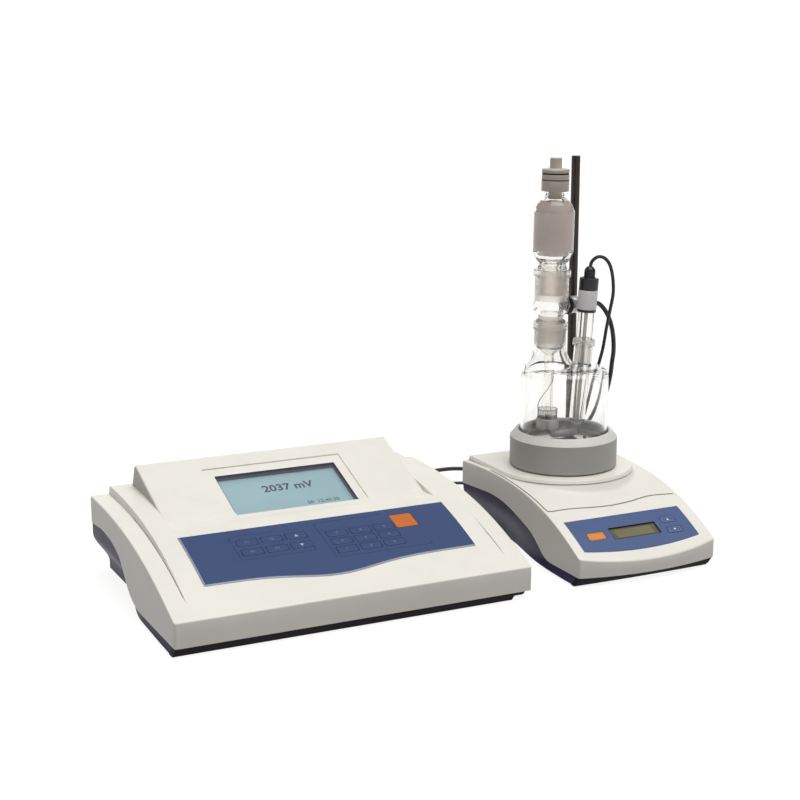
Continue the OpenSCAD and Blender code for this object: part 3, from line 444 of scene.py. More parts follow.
def metal(name, colour, roughness, stretch=(1, 1, 1), grain=900):
    """Metal with fine brush marks across the axis that stretch makes long."""
    def build(nodes, links, shader):
        coords = nodes.new("ShaderNodeTexCoord")
        scaled = nodes.new("ShaderNodeMapping")
        settle(scaled, Scale=stretch)
        links.new(coords.outputs["Object"], scaled.inputs[0])
        marks = nodes.new("ShaderNodeTexNoise")
        settle(marks, Scale=grain, Detail=3)
        links.new(scaled.outputs[0], marks.inputs["Vector"])
        stops = [(0.3, tuple(c * 0.86 for c in colour)), (0.7, colour)]
        links.new(ramp(nodes, links, marks.outputs[0], stops), shader.inputs["Base Color"])
        spread(nodes, links, marks.outputs[0], roughness * 0.8, roughness * 1.3, shader.inputs["Roughness"])
        settle(shader, Metallic=1)
        bumped(nodes, links, shader, marks.outputs[0], 0.25, 0.00003)
    return material(name, build)


GLASS_IOR = 1.47


def blown(nodes, links, shader):
    """The slow waves of blown glass."""
    bumped(nodes, links, shader, noise(nodes, links, 60, Detail=1), 0.3, 0.00002)


def glass(nodes, links, shader):
    """Clear glass."""
    settle(shader, Base_Color=(0.972, 0.966, 0.95, 1), Transmission_Weight=1, IOR=GLASS_IOR, Roughness=0)
    blown(nodes, links, shader)


def ground_glass(nodes, links, shader):
    """Glass with a ground surface, which shows white more than it lets through."""
    settle(shader, Base_Color=(1.0, 0.955, 0.9, 1), Transmission_Weight=0.9, IOR=GLASS_IOR)
    grain = noise(nodes, links, 1600, Detail=3)
    spread(nodes, links, grain, 0.256, 0.384, shader.inputs["Roughness"])
    bumped(nodes, links, shader, grain, 0.5, 0.00006)


NECK_BOTTOM, NECK_GROUND, NECK_EDGE, NECK_LIP = 0.1675, 0.169, 0.1865, 0.1885  # heights in metres


def vessel_glass(nodes, links, shader):
    """Clear glass that turns frosted and slightly warm inside its two ground necks."""
    coords = nodes.new("ShaderNodeTexCoord")
    split = nodes.new("ShaderNodeSeparateXYZ")
    links.new(coords.outputs["Object"], split.inputs[0])
    stops = [(0.0, (0, 0, 0)), (NECK_BOTTOM, (0, 0, 0)), (NECK_GROUND, (1, 1, 1)), (NECK_EDGE, (1, 1, 1)),
             (NECK_LIP, (0, 0, 0))]
    ground = ramp(nodes, links, split.outputs[2], stops)
    settle(shader, IOR=GLASS_IOR)
    tint = nodes.new("ShaderNodeMix")
    tint.data_type = "RGBA"
    links.new(ground, tint.inputs[0])
    tint.inputs[6].default_value = (0.975, 0.975, 0.96, 1)
    tint.inputs[7].default_value = (1.0, 0.97, 0.93, 1)
    links.new(tint.outputs[2], shader.inputs["Base Color"])
    spread(nodes, links, ground, 0.0, 0.35, shader.inputs["Roughness"])
    spread(nodes, links, ground, 1.0, 0.82, shader.inputs["Transmission Weight"])
    blown(nodes, links, shader)


def glow(name, low, high, strength, roughness):
    """A back-lit screen: a faintly clouded tint that also gives off a little light."""
    def build(nodes, links, shader):
        tint = ramp(nodes, links, noise(nodes, links, 14, Detail=2), [(0.3, low), (0.7, high)])
        links.new(tint, shader.inputs["Base Color"])
        links.new(tint, shader.inputs["Emission Color"])
        settle(shader, Emission_Strength=strength, Roughness=roughness)
    return material(name, build)


def clear_pane(nodes, links, shader):
    """The display's window, which shows by its gloss alone."""
    settle(shader, Base_Color=(0.9, 0.95, 0.97, 1), Alpha=0.04, Roughness=0.06)


IVORY = plastic("ivory_plastic", (0.785, 0.758, 0.685), 0.4)
# a darker ivory for the housing's cheeks: painted shade on sides turned from the light
IVORY_PAINTED_SHADE = plastic("ivory_painted_shade", (0.47, 0.45, 0.41), 0.5)
NAVY = plastic("navy_plastic", (0.034, 0.028, 0.08), 0.42, specular=0.12)
# near-black: painted shade on the bases' fronts under the lips and on the stirrer display's recess wall;
# plain black on the rear panel
PAINTED_SHADE_AND_BLACK = plastic("painted_shade_and_black", (0.006, 0.004, 0.007), 0.55, specular=0.2)
BLUE = plastic("overlay_blue", (0.028, 0.058, 0.16), 0.42, grain=2500, depth=0.00002, specular=0.35)
# dark blue for the printed group lines, and for the sheet under the keys as painted shade
BLUE_LINE_AND_SHADE = plastic("overlay_line_and_painted_shade", (0.016, 0.036, 0.115), 0.45, grain=2500, specular=0.3)
BLUE_KEY = plastic("key_blue", (0.027, 0.056, 0.157), 0.42, grain=2500, specular=0.35)
LEGEND = plastic("legend_grey", (0.16, 0.22, 0.34), 0.5)
SLATE = plastic("overlay_slate", (0.06, 0.1, 0.235), 0.42, grain=2500, depth=0.00002, specular=0.35)
LEGEND_LIGHT = plastic("legend_light", (0.42, 0.47, 0.56), 0.5)
SLATE_LINE = plastic("slate_line", (0.2, 0.27, 0.43), 0.45)
ORANGE = plastic("key_orange", (0.56, 0.14, 0.014), 0.42, specular=0.35)
ORANGE_WARM = plastic("key_orange_warm", (0.7, 0.24, 0.03), 0.42, specular=0.35)
ORANGE_LIGHT = plastic("key_orange_light", (0.66, 0.27, 0.06), 0.42)
SILVER = plastic("trim_silver", (0.27, 0.29, 0.34), 0.3, specular=0.7)
GREY = plastic("collar_grey", (0.4, 0.39, 0.365), 0.5, grain=1100, depth=0.00006)
# a lighter grey for the collar's chamfer and top: painted light on faces turned up
GREY_PAINTED_LIGHT = plastic("collar_rim_painted_light", (0.7, 0.68, 0.64), 0.5, grain=1100, depth=0.00006)
BLACK = plastic("black_plastic", (0.012, 0.012, 0.014), 0.35)
RUBBER = plastic("foot_rubber", (0.02, 0.02, 0.02), 0.75, grain=800)
CABLE = plastic("lead_black", (0.014, 0.013, 0.014), 0.42, grain=700, depth=0.00005)
CHROME = metal("connector_metal", (0.7, 0.7, 0.72), 0.28)
STEEL = metal("screw_steel", (0.55, 0.55, 0.57), 0.3)
# steel coloured nearly black: painted dark reflection of its surroundings
ROD_DARK_REFLECTION = metal("rod_steel", (0.06, 0.05, 0.046), 0.26, (1, 1, 0.05), 1500)
GLASS = material("cell_glass", glass)
FROST = material("ground_glass", ground_glass)
VESSEL = material("vessel_glass", vessel_glass)
FRIT = plastic("frit_white", (0.62, 0.6, 0.56), 0.7, grain=1500, depth=0.0001)
WHITE = plastic("arrow_white", (0.8, 0.8, 0.79), 0.3)
BAR = plastic("bar_coating", (0.42, 0.41, 0.4), 0.3)
BEAD = plastic("desiccant_grains", (0.67, 0.57, 0.53), 0.8, grain=420, depth=0.0004, clouding=0.1)
STOPPER = plastic("stopper_grey", (0.66, 0.58, 0.495), 0.3, clear=0.25)
LABEL = plastic("label_sleeve", (0.92, 0.9, 0.88), 0.45)
BOARD = plastic("board_green", (0.02, 0.12, 0.05), 0.35)
MESH = metal("cathode_mesh", (0.22, 0.2, 0.19), 0.4)
SCREEN = glow("lcd_cyan", (0.165, 0.262, 0.288), (0.2, 0.3, 0.32), 0.55, 0.3)
OLIVE = glow("lcd_olive", (0.085, 0.075, 0.04), (0.115, 0.1, 0.05), 0.1, 0.2)
OLIVE_FIELD = glow("lcd_field", (0.12, 0.105, 0.055), (0.17, 0.16, 0.085), 0.12, 0.15)
# dark lines laid in the grooves beside the rails and along the stirrer's seam: painted shadow
SEAM_SHADOW = plastic("seam_shadow", (0.16, 0.145, 0.13), 0.6)
# near-black for the walls of the display's recess: painted shade
WINDOW_WALL_SHADE = plastic("window_wall_painted_shade", (0.06, 0.045, 0.08), 0.5)
INK = plastic("lcd_ink", (0.02, 0.035, 0.06), 0.4)
WINDOW = material("window_clear", clear_pane)

# ---- camera
VIEW_TURN, VIEW_DIP = 25.875, 12.68  # degrees to the right, and down
camera = added("camera", bpy.data.cameras.new("camera"))
camera.data.lens = 73.36
camera.data.sensor_width = 36
camera.data.clip_end = 40
camera.location = (-0.56209, -1.14680, 0.42976)
camera.rotation_euler = (math.radians(90 - VIEW_DIP), 0, math.radians(-VIEW_TURN))
scene.camera = camera


# ---- leads
def lead(name, points, diameter, node):
    """A lead as one smooth curve through the route's points."""
    curve = bpy.data.curves.new(name, "CURVE")
    curve.dimensions = "3D"
    curve.bevel_depth = diameter / 2 * MM
    curve.bevel_resolution = 5
    curve.resolution_u = 6
    curve.use_fill_caps = True
    spline = curve.splines.new("BEZIER")
    spline.bezier_points.add(len(points) - 1)
    pts = [row(p) for p in points]
    for i, (knot, p) in enumerate(zip(spline.bezier_points, pts)):
        before, after = pts[max(i - 1, 0)], pts[min(i + 1, len(pts) - 1)]
        tangent = (after - before) / 2 if 0 < i < len(pts) - 1 else (after - before)
        knot.co = p
        knot.handle_left = p - tangent / 3
        knot.handle_right = p + tangent / 3
    curve.materials.append(CABLE)
    obj = added(name, curve)
    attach(obj, "instrument")
    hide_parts(node)
    tuple(row(points[0]))


GENERATOR_ROUTE = [
    (203.8, 43.6, 200.9), (209, 44.2, 199), (214, 44.2, 194.5), (218.5, 43.8, 187.5), (222, 43.5, 178.5),
    (224.5, 44, 168), (226.5, 46, 156), (227.5, 49.5, 144), (229, 54, 131), (229.5, 60.5, 115),
    (228, 70, 97), (225, 80.5, 82), (221.5, 90, 71), (219, 98.5, 62.5), (217, 107.5, 48), (215, 114.5, 31),
    (213.5, 122, 16), (212.5, 130.5, 6), (211.5, 138.5, 2.7), (211, 147, 2.1), (210.5, 160, 2),
    (209.5, 182, 2), (207, 206, 2), (202, 229, 2), (193, 247, 2), (179, 257, 2), (162, 258.5, 2),
    (140, 255.5, 2), (116, 246.5, 2), (92, 232.5, 2), (69, 215.5, 2), (47, 199, 2), (28, 186, 2.6),
    (14, 176.5, 7), (6, 167, 15), (2.5, 155.5, 23), (2, 142.6, 26)]
DETECTOR_ROUTE = [
    (186, 24, 236), (187.5, 23.5, 240.5), (192, 22, 244), (197.5, 20.5, 243), (202, 19.5, 238),
    (205, 19.5, 230.5), (207, 20, 221), (208.5, 22, 210.5), (209, 26.5, 197), (210, 33, 180),
    (211, 39.5, 160), (211.5, 47, 143), (212, 56, 120), (212, 65, 98), (212, 75, 81), (211, 85, 70),
    (209, 94.5, 66), (207, 103, 55), (205, 110, 38), (202.5, 117, 20), (200, 124, 8.5), (198, 131, 3.4),
    (196, 139, 1.8), (194, 147, 1.5), (190, 160, 1.5), (184, 177, 1.5), (175, 194, 1.5), (162, 207.5, 1.5),
    (144, 212.5, 1.5), (122, 209.5, 1.5), (100, 200.5, 1.5), (79, 189.5, 1.5), (60, 179, 2), (45, 170.5, 6),
    (34.5, 162.5, 14), (29.5, 153.5, 22.5), (28.25, 142.6, 26)]
lead("generator_lead", GENERATOR_ROUTE, 4, "generator_cable")
lead("detector_lead", DETECTOR_ROUTE, 3, "detector_cable")

# ---- console profiles, (y, z)
CONSOLE_W, CONSOLE_D = 290.0, 212.0
LIP_Z, FRONT_Z, RAIL_Z, MIDDLE_Z = 7.0, 26.2, 65.0, 71.2
RAIL_W, MIDDLE_FRONT, MIDDLE_RUN = 15.5, 8.0, 4
# the groove between rail and middle, measured across from the rail's edge and back from the front
GROOVE_DEPTH, GROOVE_IN, GROOVE_OUT, GROOVE_FRONT, GROOVE_RUN = 2.2, -0.6, 0.05, 11, 26
STEP_FOOT, STEP_RUN = 0.2, 0.75
RIDGE_Y, RIDGE_Z, FACE_END = 197.4, 90.0, 119.0
TILT = math.radians(20.4)
HOUSING_W = 222.0
HOUSING_X0 = (CONSOLE_W - HOUSING_W) / 2
BED_Y, BED_END, HOUSING_VOID, REAR_BAND = 100.0, 119.7, 14.0, 3.5
KEY_FIELD = (60.0, 236.0, 41.0, 88.0)
WELL = 1.5
RAIL = bezier([(0, FRONT_Z), (44, FRONT_Z + 17), (95, RAIL_Z + 1.2), (CONSOLE_D, RAIL_Z)])
MIDDLE = bezier([(MIDDLE_FRONT, FRONT_Z + 3.2), (60, FRONT_Z + 23.4), (105, MIDDLE_Z - 0.2),
                 (CONSOLE_D, MIDDLE_Z)])
SWEEP_Y = 78.0
CONSOLE_EDGE = ([(0, LIP_Z)] + bezier([(SWEEP_Y, LIP_Z), (112, LIP_Z), (118, 24), (128, 32)], 16)
                + bezier([(128, 32), (138, 41), (160, 45.5), (185, 45)], 16)[1:] + [(CONSOLE_D, 42.6)])


def rail_z(x, y):
    """Height of the lowered rails, the same at every x."""
    return lookup(y, RAIL)


def middle_z(x, y):
    """Height of the middle of the cover, which rises from the rails at the front."""
    if y > MIDDLE_FRONT + MIDDLE_RUN:
        return lookup(y, MIDDLE)
    return lerp(rail_z(x, y), lookup(y, MIDDLE), smooth((y - MIDDLE_FRONT) / MIDDLE_RUN + 0.001))


def face_z(y):
    """Height of the display's sloping face."""
    return RIDGE_Z - (RIDGE_Y - y) * math.tan(TILT)


# the surface that joins the middle of the cover to the display's face
BED = bezier([(BED_Y, middle_z(0, BED_Y)), (BED_Y + 5, middle_z(0, BED_Y) + 1.9),
              (FACE_END - 5, face_z(FACE_END - 5) + 0.4), (BED_END, face_z(BED_END) + 0.03)], 20)


def console_top(x, y):
    """Height of the cover: lowered rails, a groove beside each, the middle and the housing's bed."""
    u = min(x, CONSOLE_W - x) - RAIL_W
    rail, middle = rail_z(x, y), middle_z(x, y)
    if GROOVE_IN <= u <= GROOVE_OUT:
        return rail - GROOVE_DEPTH * smooth((y - GROOVE_FRONT) / GROOVE_RUN)
    if u <= STEP_FOOT:
        return rail
    if HOUSING_X0 < x < CONSOLE_W - HOUSING_X0:
        if y > CONSOLE_D - REAR_BAND:
            return middle
        if y > BED_END:
            return min(face_z(y) - HOUSING_VOID, middle - 2)
        if y > BED_Y:
            return lookup(y, BED)
        if inside(x, y, KEY_FIELD):
            return middle - WELL
    return rail + max(0.0, middle - rail) * smooth((u - STEP_FOOT) / STEP_RUN)


# ---- moulded covers
COVER_FILLET, COVER_WALL, BOW_END, CORE = 1.0, 2.4, 12.0, 6.0
EDGE_MARKS = [0, 0.1, 0.3, 0.6, 1.0, 1.6, 2.4, 4]


def both_ends(marks, middle, length):
    return marks + middle + [length - m for m in reversed(marks)]


def shell(name, columns, lines, top, edge, width, depth, radius, place, bow=None, hole=None, **kw):
    """A cover: a top surface on a grid, rounded corners and top edges, and side walls down to the edge.

    edge is a table (y, z). bow(x) moves the front edge forward, and hole is a rectangle left open.
    """
    verts = []
    for y in lines:
        for x in columns:
            u, v = x, y
            cx = radius if x < radius else width - radius if x > width - radius else None
            cy = radius if y < radius else depth - radius if y > depth - radius else None
            if cx is not None and cy is not None:
                a, b = (x - cx) / radius, (y - cy) / radius
                a, b = a * math.sqrt(1 - b * b / 2), b * math.sqrt(1 - a * a / 2)
                u, v = cx + a * radius, cy + b * radius
                d = radius * (1 - min(1.0, math.hypot(a, b)))
            else:
                d = min(x, y, width - x, depth - y)
            if bow and v < BOW_END:
                v -= bow(u) * (1 - v / BOW_END)
            verts.append((u, v, top(u, v) - fallen(d, COVER_FILLET)))
    faces = grid_faces(columns, lines, hole)
    loop = previous = grid_border(len(columns), len(lines))
    for inset, down in ((0, 0.5), (0, 1), (COVER_WALL, 1), (COVER_WALL, 0.9)):
        ring = []
        for x, y, z in (verts[k] for k in loop):
            d = Vector((min(max(x, CORE), width - CORE) - x, min(max(y, CORE), depth - CORE) - y))
            if d.length > 1e-6:
                d.normalize()
            ring.append(len(verts))
            verts.append((x + d.x * inset, y + d.y * inset, lerp(z, lookup(y, edge), down)))
        faces += band(previous, ring)
        previous = ring
    return piece(name, verts, faces, IVORY, place=place, slot="ivory_plastic", smooth_deg=50, **kw)


# columns across the rail's edge and groove and the housing's cheek
STEP_MARKS = [14.7, 14.8, 15.0, 15.5, 15.66, 15.75, 15.9, 16.1, 16.3, 16.5, 17.4, 20, 25, 30, 33.8,
              33.95, 34.1]
columns = both_ends(EDGE_MARKS + stations(6, (14.2, 2.8)) + STEP_MARKS, stations(39, (251, 5)), CONSOLE_W)
lines = stations(6, (60, 2), (99, 2.4), (BED_END, 1.2), (BED_END + 0.4, 0.4), (206, 4))
shell("console_cover_shell", columns, both_ends(EDGE_MARKS, lines, CONSOLE_D), console_top, CONSOLE_EDGE,
      CONSOLE_W, CONSOLE_D, 2.2, console, replaces=["console_cover"])
# dark beads in the grooves beside the rails: painted shadow
for side, x in (("left", RAIL_W - 0.28), ("right", CONSOLE_W - RAIL_W + 0.28)):
    bead("rail_shadow_" + side, [(x, y) for y in stations(26, (CONSOLE_D - 3, 4))], 0.95, 0.2, -1.1, SEAM_SHADOW,
         place=over(rail_z, console), slot="ivory_plastic")

# ---- display housing
WINDOW_W, WINDOW_H, WINDOW_DROP = 105.0, 55.0, 27.0
BEZEL_W, BEZEL_TOP, BEZEL_DEEP = 121.0, 17.0, 1.1
WINDOW_CHAMFER, WINDOW_DIP = 1.2, 0.2
HOUSING_FILLET, SKIRT_Z, BURIED = 1.4, -24, 6
RECESS, SCREEN_Z = 2.9, -6.6
HOUSING_REAR = [(-0.8, -0.12), (-0.2, -0.35), (0.6, -0.75), (1.4, -1.5), (2.0, -2.6), (9.6, -20.0),
                (11.4, -24.0), (11.4, -40.0)]  # (y, z) from the ridge down the back, in the case's own frame
# the display's frame: x from the middle, y up the slope from the ridge, z off the face
display = tilted(CONSOLE_W / 2, RIDGE_Y, RIDGE_Z, TILT, console)


def housing():
    """The raised wedge: its face with the sunk bezel round the window, its back, cheeks and front skirt."""
    half = HOUSING_W / 2
    end = -(RIDGE_Y - FACE_END) / math.cos(TILT) - BURIED
    hole_x, hole_y0, hole_y1 = WINDOW_W / 2, -WINDOW_DROP - WINDOW_H, -WINDOW_DROP
    bezel_x, bezel_y = BEZEL_W / 2, -BEZEL_TOP
    rounding = [half - m for m in (0, 0.25, 0.8, 1.6)]
    steps = rounding + [bezel_x, bezel_x + 0.15, hole_x, hole_x + WINDOW_CHAMFER]
    xs = sorted({*steps, *[-x for x in steps], *stations(-half + 6, (-66, 8)), *stations(66, (half - 6, 8)),
                 *stations(-hole_x + 10, (hole_x - 10, 10))})
    ys = sorted({end, end + 2, end + 4, *stations(hole_y0 - 4, (hole_y0, 1)),
                 *stations(hole_y0 + 5, (hole_y1 - 5, 5)), hole_y1, hole_y1 + 0.6, hole_y1 + WINDOW_CHAMFER,
                 bezel_y - 0.15, bezel_y, -12, -8, -4, -1.6})
    nx, ny = len(xs), len(ys)

    def height(x, y):
        z = -fallen(half - abs(x), HOUSING_FILLET)
        if abs(x) <= bezel_x + 0.01 and y < bezel_y - 0.1:
            z -= BEZEL_DEEP * smooth((y - hole_y0 + 1.5) / 5)
        e = max(0.0, abs(x) - hole_x, y - hole_y1, hole_y0 - y)
        if e < WINDOW_CHAMFER and hole_y0 - 1.2 <= y <= hole_y1 + WINDOW_CHAMFER:
            z -= WINDOW_DIP * (1 - smooth(e / WINDOW_CHAMFER))
        return z

    verts = [(x, y, height(x, y)) for y in ys for x in xs]
    faces = grid_faces(xs, ys, (-hole_x, hole_x, hole_y0, hole_y1))
    c, s = math.cos(TILT), math.sin(TILT)
    sag = [0.8 * fallen(half - abs(x), HOUSING_FILLET) for x in xs]
    rings = [[(ny - 1) * nx + i for i in range(nx)]]
    for dy, dz in HOUSING_REAR:
        rings.append([len(verts) + i for i in range(nx)])
        verts += [(x, c * dy + s * dz, -s * dy + c * dz - down) for x, down in zip(xs, sag)]
        upper, lower = rings[-2:]
        faces += [(upper[i], upper[i + 1], lower[i + 1], lower[i]) for i in range(nx - 1)]
    face_materials = [0] * len(faces)
    # the cheeks take the darker ivory as painted shade
    for i in (0, nx - 1):  # the cheeks
        faces.append((*[j * nx + i for j in range(ny)], *[r[i] for r in rings[1:]], len(verts)))
        verts.append((xs[i], end, SKIRT_Z))
        face_materials.append(1)
    faces.append((*range(nx), len(verts) + 1, len(verts)))  # the skirt
    verts += [(-half, end, SKIRT_Z), (half, end, SKIRT_Z)]
    face_materials.append(0)
    obj = piece("display_housing_shell", verts, faces, [IVORY, IVORY_PAINTED_SHADE], place=display,
                replaces=["display_housing"], slot="ivory_plastic", smooth_deg=38,
                face_materials=face_materials, outward=False)
    face_up(obj)


def face_up(obj):
    """Turns an open shell's faces so that those that look up point up."""
    bm = bmesh.new()
    bm.from_mesh(obj.data)
    bmesh.ops.recalc_face_normals(bm, faces=bm.faces)
    if sum(f.normal.z * f.calc_area() for f in bm.faces) < 0:
        bmesh.ops.reverse_faces(bm, faces=bm.faces)
    bm.to_mesh(obj.data)
    bm.free()


def at_window(outline):
    """An outline moved to the middle of the display's window."""
    return [(x, y - WINDOW_DROP - WINDOW_H / 2) for x, y in outline]


housing()
# the window's recess walls, near-black as painted shade
thin_wall("window_wall", at_window(rounded_rect(WINDOW_W, WINDOW_H, 0.8, 3)),
          (-BEZEL_DEEP - WINDOW_DIP + 0.05, SCREEN_Z), 0.4, WINDOW_WALL_SHADE, display)
slab("display_pane", at_window(rounded_rect(WINDOW_W + 1, WINDOW_H + 1, 0.6, 2)), (-RECESS - 0.7, -RECESS),
     WINDOW, place=display, replaces=["display_window"], slot="window_clear")


def lcd_screen(columns=13, lines=9, thickness=1.2):
    """The display's glass behind the window, with a gridded top."""
    x1, y0, y1 = WINDOW_W / 2 + 2, -WINDOW_DROP - WINDOW_H - 0.4, -WINDOW_DROP + 2
    xs = [lerp(-x1, x1, i / (columns - 1)) for i in range(columns)]
    ys = [lerp(y0, y1, j / (lines - 1)) for j in range(lines)]
    verts = [(x, y, z) for z in (SCREEN_Z - thickness, SCREEN_Z) for y in ys for x in xs]
    count, border = columns * lines, grid_border(columns, lines)
    faces = grid_faces(xs, ys, first=count) + band([k + count for k in border], border)
    faces.append(tuple(reversed(border)))
    piece("lcd_screen", verts, faces, SCREEN, place=display, replaces=["lcd_module"], slot="lcd_cyan")


lcd_screen()


def words(name, text, size, at, place, mat, slot, body="instrument", bold=0.0, height=0.12):
    """Generic digits or symbols as a thin raised mesh, laid through place()."""
    curve = bpy.data.curves.new(name, "FONT")
    curve.body = text
    curve.size = size
    curve.offset = bold
    curve.extrude = height / 2
    curve.align_x = "CENTER"
    curve.align_y = "CENTER"
    curve.resolution_u = 3
    temp = added(name + ".font", curve)
    graph = bpy.context.evaluated_depsgraph_get()
    mesh = bpy.data.meshes.new_from_object(temp.evaluated_get(graph))
    bpy.data.objects.remove(temp)
    verts = [(at[0] + v.co.x, at[1] + v.co.y, at[2] + v.co.z + height / 2) for v in mesh.vertices]
    faces = [tuple(p.vertices) for p in mesh.polygons]
    bpy.data.meshes.remove(mesh)
    return piece(name, verts, faces, mat, body=body, place=place, slot=slot, outward=False, smooth_deg=20)


words("lcd_reading", "2037 mV", 12, (5, -45.5, SCREEN_Z), display, INK, "lcd_cyan", bold=0.3)
words("lcd_status", "00  12:45:30", 5.6, (27, -70, SCREEN_Z), display, INK, "lcd_cyan", bold=0.03)

# ---- keypad
OVERLAY_X0, OVERLAY_X1, OVERLAY_Y0, OVERLAY_Y1 = 35.0, 257.0, 33.0, 91.2
OVERLAY_T = 0.45
WAVE_DEPTH, WAVE_X, WAVE_W = 8.6, 138.0, 42.0
on_console = over(middle_z, console)


def wave(x):
    """The overlay's front edge."""
    return OVERLAY_Y0 - WAVE_DEPTH * math.exp(-((x - WAVE_X) / WAVE_W) ** 2)


trim_x = OVERLAY_X0 - 0.6
trim_path = densify([(trim_x, OVERLAY_Y1), (trim_x, wave(OVERLAY_X0) - 0.6)], 2)
trim_path += [(x, wave(x) - 0.65) for x in stations(OVERLAY_X0 + 1, (OVERLAY_X1 - 0.2, 2.5))]
bead("keypad_trim_bead", trim_path, 1.8, 0.6, 0.0, SILVER, place=on_console, replaces=["keypad_trim"],
     slot="trim_silver")

# printed outlines of the two key groups, which the photo shows open towards the upper right
GROUP_LINES = (("left_group_line", 0.7, [(112, 82.5), (70.4, 82.5), (71, 52.6), (131, 52.6), (131, 66)]),
               ("right_group_line", 0.9, [(200, 85.5), (141.4, 85.5), (143, 41), (224, 41), (224, 44)]))
for name, width, corners in GROUP_LINES:
    bead(name, densify(filleted(corners, 3, 5, closed=False), 2.0), width, 0.12, OVERLAY_T, BLUE_LINE_AND_SHADE,
         place=on_console, slot="overlay_blue")

KEY_W, KEY_H, KEY_R, KEY_FOOT, KEY_PROUD, KEY_EDGE, KEY_CROWN = 17.0, 7.6, 1.4, -2.6, 0.62, 0.3, 0.08
LEGEND_Z, PRINT_T = KEY_PROUD - 0.03, 0.08
LEFT_X, LEFT_Y = (82.5, 102.5, 122.5), (73.0, 61.0)
RIGHT_X, RIGHT_Y = (155.0, 175.0, 195.0), (69.0, 59.0, 49.0)


def key_place(x, y):
    """The frame of a key on the console, tilted as the cover is there."""
    slope = math.atan2(middle_z(x, y + 2) - middle_z(x, y - 2), 4)
    return tilted(x, y, middle_z(x, y), slope, console)


def key_piece(name, place, w, h, mat, slot, legend=None, size=3.4):
    """A key's cap with its legend, both on the key's own body."""
    v, f = pad(w, h, KEY_R, KEY_FOOT, KEY_PROUD - KEY_CROWN, KEY_EDGE, KEY_CROWN)
    piece(name + "_pad", v, f, mat, body=name, place=place, replaces=[name], slot=slot)
    if legend:
        words(name + "_legend", legend, size, (0, 0, LEGEND_Z), place, LEGEND, slot, body=name, height=0.06)


def key_arrow(name, place, size, up, mat, slot, z):
    """A printed triangle on a key."""
    s = size if up else -size
    outline = [(-size * 0.6, -s * 0.5), (size * 0.6, -s * 0.5), (0, s * 0.6)]
    slab(name + "_arrow", outline, (z, z + PRINT_T), mat, body=name, place=place, slot=slot)


for n, mark in enumerate(["F1", "F2", None, "F3", "F4", None]):
    name, place = f"key_left_{n + 1}", key_place(LEFT_X[n % 3], LEFT_Y[n // 3])
    key_piece(name, place, KEY_W, KEY_H, BLUE_KEY, "key_blue", mark)
    if mark is None:
        key_arrow(name, place, 2.6, n == 2, LEGEND_LIGHT, "key_blue", LEGEND_Z)
for n, mark in enumerate("789456123"):  # plain digits: the photo's legends can't be read
    name, place = f"key_right_{n + 1}", key_place(RIGHT_X[n % 3], RIGHT_Y[n // 3])
    key_piece(name, place, KEY_W, KEY_H, BLUE_KEY, "key_blue", mark, 3.8)
key_piece("start_key_cap", key_place(214.5, 73.3), 18.5, 17.575, ORANGE, "key_orange")

# a dark sheet under the keys, painted shade seen in the gaps round them
xs = stations(KEY_FIELD[0] + 1, (KEY_FIELD[1] - 1, 5))
ys = stations(KEY_FIELD[2] + 1, (KEY_FIELD[3] - 1, 4))
piece("keypad_shade_sheet", [(x, y, -0.9) for y in ys for x in xs], grid_faces(xs, ys), BLUE_LINE_AND_SHADE,
      place=on_console, slot="overlay_blue", outward=False)

# ---- bases
BASE_WALL, BASE_BOTTOM, FLOOR_TOP, BASE_GAP = 3.0, 1.5, 4.5, 0.15
FOOT_END, FOOT_H = 120.0, 5.5  # how far back and how far up the foot is spread
DRAW_Z, DRAW_H = 8, 26  # where the side begins to draw in, and over what height


def half_section(y, edge, flare, foot):
    """One side of a base at y: its outside going down, and its inside going down.

    flare is (x at the front, y0, y1, amount): the lower side draws in by the amount from y0 to y1.
    """
    x_in, y0, y1, amount = flare
    top = lookup(y, edge) - BASE_GAP

    def side(z):
        out = foot * (1 - smooth(y / FOOT_END)) * max(0.0, 1 - (z - BASE_BOTTOM) / FOOT_H)
        return x_in + amount * smooth((y - y0) / (y1 - y0)) * (1 - smooth((z - DRAW_Z) / DRAW_H)) - out

    steps = 14
    outer = [(side(z), z) for z in (lerp(top, BASE_BOTTOM, k / steps) for k in range(steps + 1))]
    inner = [(side(z) + BASE_WALL, z) for z in (lerp(top, FLOOR_TOP, k / steps) for k in range(steps + 1))]
    outer[-1] = (outer[-1][0], min(top - 0.2, 2.6))
    return outer + [(outer[-1][0] + 1.2, BASE_BOTTOM)], inner


def base(name, width, ys, edge, flare, feet, place, **kw):
    """A base as closed U sections: down the left, across, up the right, and back inside."""
    rings = []
    for y in ys:
        left_out, left_in = half_section(y, edge, flare, feet[0])
        right_out, right_in = half_section(y, edge, flare, feet[1])
        right_out = [(width - x, z) for x, z in reversed(right_out)]
        right_in = [(width - x, z) for x, z in right_in]
        rings.append([(x, y, z) for x, z in left_out + right_out + right_in + left_in[::-1]])
    v, f = rings_to_mesh(rings)
    return piece(name, v, f, NAVY, place=place, slot="navy_plastic", smooth_deg=35, **kw)


def extruded(name, section, ys, mat, **kw):
    """A piece of a base with one (x, z) section from y to y."""
    v, f = rings_to_mesh([[(x, y, z) for x, z in section] for y in ys])
    return piece(name, v, f, mat, slot="navy_plastic", **kw)


base("console_base_shell", CONSOLE_W, stations(8, (SWEEP_Y, 7), (170, 2.2), (CONSOLE_D - 2, 5)), CONSOLE_EDGE,
     (0.6, SWEEP_Y, 165, 13), (2.4, -2.0), console, replaces=["console_base"])
# the console base's front, near-black as painted shade under the cover's lip
extruded("console_base_front", [(-1.8, 1.5), (CONSOLE_W - 17.5, 1.5), (CONSOLE_W - 13.5, 6.85), (0.6, 6.85)],
         (0.7, 1.0, 4.5, 8.4), PAINTED_SHADE_AND_BLACK, place=console)

